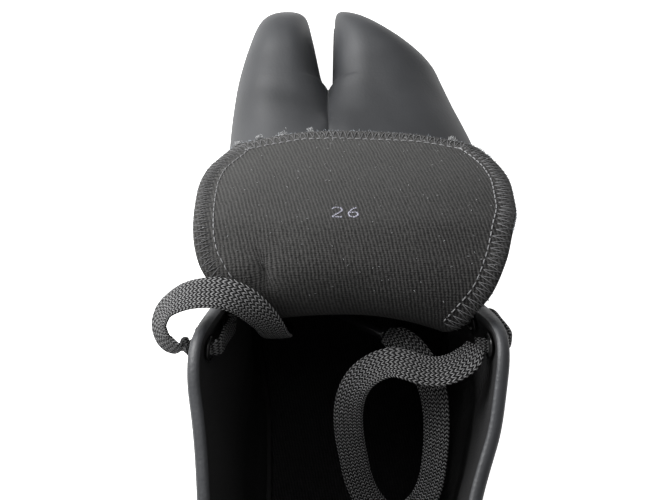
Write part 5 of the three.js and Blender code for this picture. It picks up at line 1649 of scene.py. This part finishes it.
def inside_border(s, depth):
    """The row and u of the place depth mm in from the border, s mm along it."""
    r, u = border_at(s)
    before = tongue_point(*border_at(s - 0.8))
    after = tongue_point(*border_at(s + 0.8))
    inward = np.cross(unit(after - before), tongue_normal(r, u))
    for _ in range(3):
        q = min(r, len(TONGUE["y"]) - 1.1)
        w = clamp(u, -0.95, 0.95)
        here = tongue_point(q, w)
        up_row = (tongue_point(q + 0.1, w) - here) / 0.1
        over = (tongue_point(q, w + 0.05) - here) / 0.05
        ways = np.array([up_row, over]).T
        move = np.linalg.lstsq(ways, inward * depth / 3, rcond=None)[0]
        r += float(move[0])
        u += float(move[1])
    return r, u

# %% Zigzag and plain stitches
BAND = 5.4
dice = random.Random(41)
zigzag = Threads(4)
plain = Threads(5)
s = 1.0
while s < edge_reach_mm[-1] - 3:
    here = inside_border(s, 0.5)
    there = inside_border(s + 1.15, BAND + dice.uniform(-0.5, 0.5))
    back = inside_border(s + 2.3, 0.5)
    for one, two in ((here, there), (there, back)):
        half_way = ((one[0] + two[0]) / 2, (one[1] + two[1]) / 2)
        zigzag.add([on_tongue(*one, -0.05), on_tongue(*half_way, 0.2), on_tongue(*two, -0.05)], 0.15, 0.7)
    s += 2.3 + dice.uniform(-0.2, 0.2)
zigzag.object("tongue_zigzag", EDGE_THREAD, "twill")
stitch_line = []
for s in np.arange(3, edge_reach_mm[-1] - 3, 1.0):
    place = inside_border(s, BAND + 0.8)
    stitch_line.append((on_tongue(*place, 0), tongue_normal(*place)))
seam(plain, stitch_line, 1.9, 0.6, 0.2, 0.15)
plain.object("tongue_stitches", THREAD, "twill")

# %% Frayed edge
fray = Threads(3)
for s in np.arange(1.0, edge_reach_mm[-1] - 1, 0.13):
    r, u = border_at(s)
    if r < 11:
        continue
    at_edge = tongue_point(r, u) + tongue_normal(r, u) * dice.uniform(-1.3, 1.5)
    out = unit(tongue_point(r, u) - tongue_point(*inside_border(s, 2.5)))
    free = r > len(TONGUE["y"]) - 3.5
    tuft = 0.5 + 0.5 * math.sin(s * 0.9) * math.sin(s * 0.37 + 1)
    size = dice.uniform(0.4, 1.0) * (0.5 + tuft) if free else dice.uniform(0.15, 0.45)
    sway = np.array([dice.gauss(0, 1) for _ in range(3)]) * 0.5
    bend = np.array([dice.gauss(0, 1) for _ in range(3)]) * 0.5
    tip = at_edge + unit(out + sway) * size
    thick = dice.uniform(0.06, 0.11) if free else 0.04
    fray.add([at_edge - out * 0.4, (at_edge + tip) / 2 + bend * size * 0.2, tip], thick, 0.6)
fray.object("tongue_fray", FRAY, "twill")

# %% Lint
lint = Threads(3)
last_row = len(TONGUE["y"]) - 1
for _ in range(170):
    r = dice.uniform(8.8, last_row - 0.2)
    u = dice.uniform(-0.96, 0.96)
    start = on_tongue(r, u, 0.05)
    turn = dice.uniform(0, 2 * math.pi)
    size = dice.uniform(0.25, 0.9)
    step = np.array([math.cos(turn), math.sin(turn) * 0.8, -0.3 * math.sin(turn)]) * size / 2
    lift = tongue_normal(r, u) * dice.uniform(0.05, 0.3)
    lint.add([start, start + step + lift, start + step * 1.8], dice.uniform(0.05, 0.09), 0.6)
for u in (-0.98, -0.78, -0.56, -0.3, 0.86):
    for _ in range(60):
        base = on_tongue(last_row, clamp(u + dice.gauss(0, 0.016), -1, 1), 0)
        base = base + np.array([0, dice.gauss(0.3, 0.4), dice.gauss(0, 0.4)])
        way = unit(np.array([dice.gauss(0, 1), dice.gauss(0, 1), dice.gauss(0, 1)]))
        lint.add([base, base + way * 0.35, base + way * dice.uniform(0.5, 0.9)], 0.09, 0.6)
lint.object("tongue_lint", LINT, "twill")

# %% [markdown]
# ## The size number
#
# A number is printed on the cloth in pale ink that has partly rubbed off. A texture could hold it, but
# short dashes of ink laid on the weave break up in the same way as the worn print. The number is a plain
# generic one.

# %% Strokes of the number
DIGITS = {
    "2": [(0, 0.82), (0.25, 1), (0.75, 1), (1, 0.8), (1, 0.62), (0, 0), (1, 0)],
    "6": [(0.85, 1), (0.3, 0.75), (0, 0.35), (0.15, 0.05), (0.7, 0), (1, 0.25), (0.8, 0.5), (0.1, 0.42)],
}
DIGIT_HIGH = 5.4
DIGIT_WIDE = 3.0
NUMBER_ROW = 11.45
MM_FOR_A_ROW = 14.2
ink = Threads(4)


def number_place(x, up):
    """Row and u of a place on the tongue from its x and its distance up from the number's foot."""
    r = NUMBER_ROW + up / MM_FOR_A_ROW
    return r, x / (TONGUE_HALF * read(TONGUE_KEYS, "row", "lateral" if x > 0 else "medial", r))


for left, digit in ((-3.6, "2"), (1.2, "6")):
    stroke = DIGITS[digit]
    for (x0, y0), (x1, y1) in zip(stroke, stroke[1:]):
        size = math.hypot((x1 - x0) * DIGIT_WIDE, (y1 - y0) * DIGIT_HIGH)
        count = max(1, round(size / 0.7))
        for k in range(count):
            ends = [mix(k / count, (k + 1) / count, t) for t in (0.1, 0.5, 0.9)]
            path = []
            for t in ends:
                x = left + mix(x0, x1, t) * DIGIT_WIDE + dice.uniform(-0.09, 0.09)
                up = mix(y0, y1, t) * DIGIT_HIGH + dice.uniform(-0.09, 0.09)
                path.append(on_tongue(*number_place(x, up), -0.05))
            ink.add(path, dice.uniform(0.27, 0.36), 0.8)
ink.object("size_number", INK, "twill")

# %% [markdown]
# ## The upper's seams
#
# Each flap has a row of stitches near its edge and another behind the eyelets, where its stay is sewn on.
# The picture shows the flaps from inside only, so these rows are kept plain and fine.

# %% Stitch rows on the flaps
EDGE_SEAM = 2.9
STAY_SEAM = 15.5
seams = Threads(5)
for side in SIDES:
    reach_end = edge_reach(side)
    for depth in (EDGE_SEAM, STAY_SEAM):
        line = []
        for s in np.arange(4, reach_end - (3 if depth == EDGE_SEAM else 17), 1.5):
            line.append(on_flap(side, s, depth))
        seam(seams, line, 2.1, 0.9, 0.2, 0.2)
seams.object("upper_stitches", DARK_THREAD, "leather")

# %% [markdown]
# ## Floor and light
#
# The picture is cut out on pure white. The floor glows white for the camera only, so that it doesn't
# flatten the dark leather. The key light stands close on the big toe's side, which makes the tones fall
# off to the right; a large one in front softens it, and a weak one overhead lights the rim.

# %% Lights and a white floor
def area_light(name, place, target, size, watts):
    data = bpy.data.lights.new(name, "AREA")
    data.size = size
    data.energy = watts
    obj = bpy.data.objects.new(name, data)
    obj.location = place
    obj.rotation_euler = (Vector(target) - Vector(place)).to_track_quat("-Z", "Y").to_euler()
    bpy.context.scene.collection.objects.link(obj)


FLOOR_HALF = 3000
FLOOR_GLOW = 0.2
GLOW_FOR_CAMERA = 0.75
floor_corners = [(x * FLOOR_HALF, y * FLOOR_HALF, 0) for x, y in ((-1, -1), (1, -1), (1, 1), (-1, 1))]
floor = make_object("floor", floor_corners, [[0, 1, 2, 3]])
floor_material = bpy.data.materials.new("floor")
floor_material.use_nodes = True
floor_shader = floor_material.node_tree.nodes["Principled BSDF"]
floor_shader.inputs["Base Color"].default_value = (0.9, 0.9, 0.9, 1)
floor_shader.inputs["Roughness"].default_value = 0.9
floor_shader.inputs["Emission Color"].default_value = (1, 1, 1, 1)
seen = floor_material.node_tree.nodes.new("ShaderNodeLightPath")
glow = math_node(floor_material.node_tree, "MULTIPLY", seen.outputs["Is Camera Ray"], GLOW_FOR_CAMERA)
glow = math_node(floor_material.node_tree, "ADD", glow, FLOOR_GLOW)
floor_material.node_tree.links.new(glow, floor_shader.inputs["Emission Strength"])
floor.data.materials.append(floor_material)
floor.location.z = -0.0002
world = bpy.data.worlds.new("studio")
bpy.context.scene.world = world
world.use_nodes = True
world.node_tree.nodes["Background"].inputs[0].default_value = (1, 1, 1, 1)
world.node_tree.nodes["Background"].inputs[1].default_value = 0.3
area_light("key", (-0.38, 0.3, 0.38), (0, 0.15, 0.1), 0.34, 4.8)
area_light("over", (-0.35, 0.75, 1.1), (0, 0.14, 0), 1.1, 6)
area_light("rim", (0.1, 0.16, 1.4), (0, 0.16, 0), 0.5, 2)
bpy.context.scene.view_settings.view_transform = "Standard"
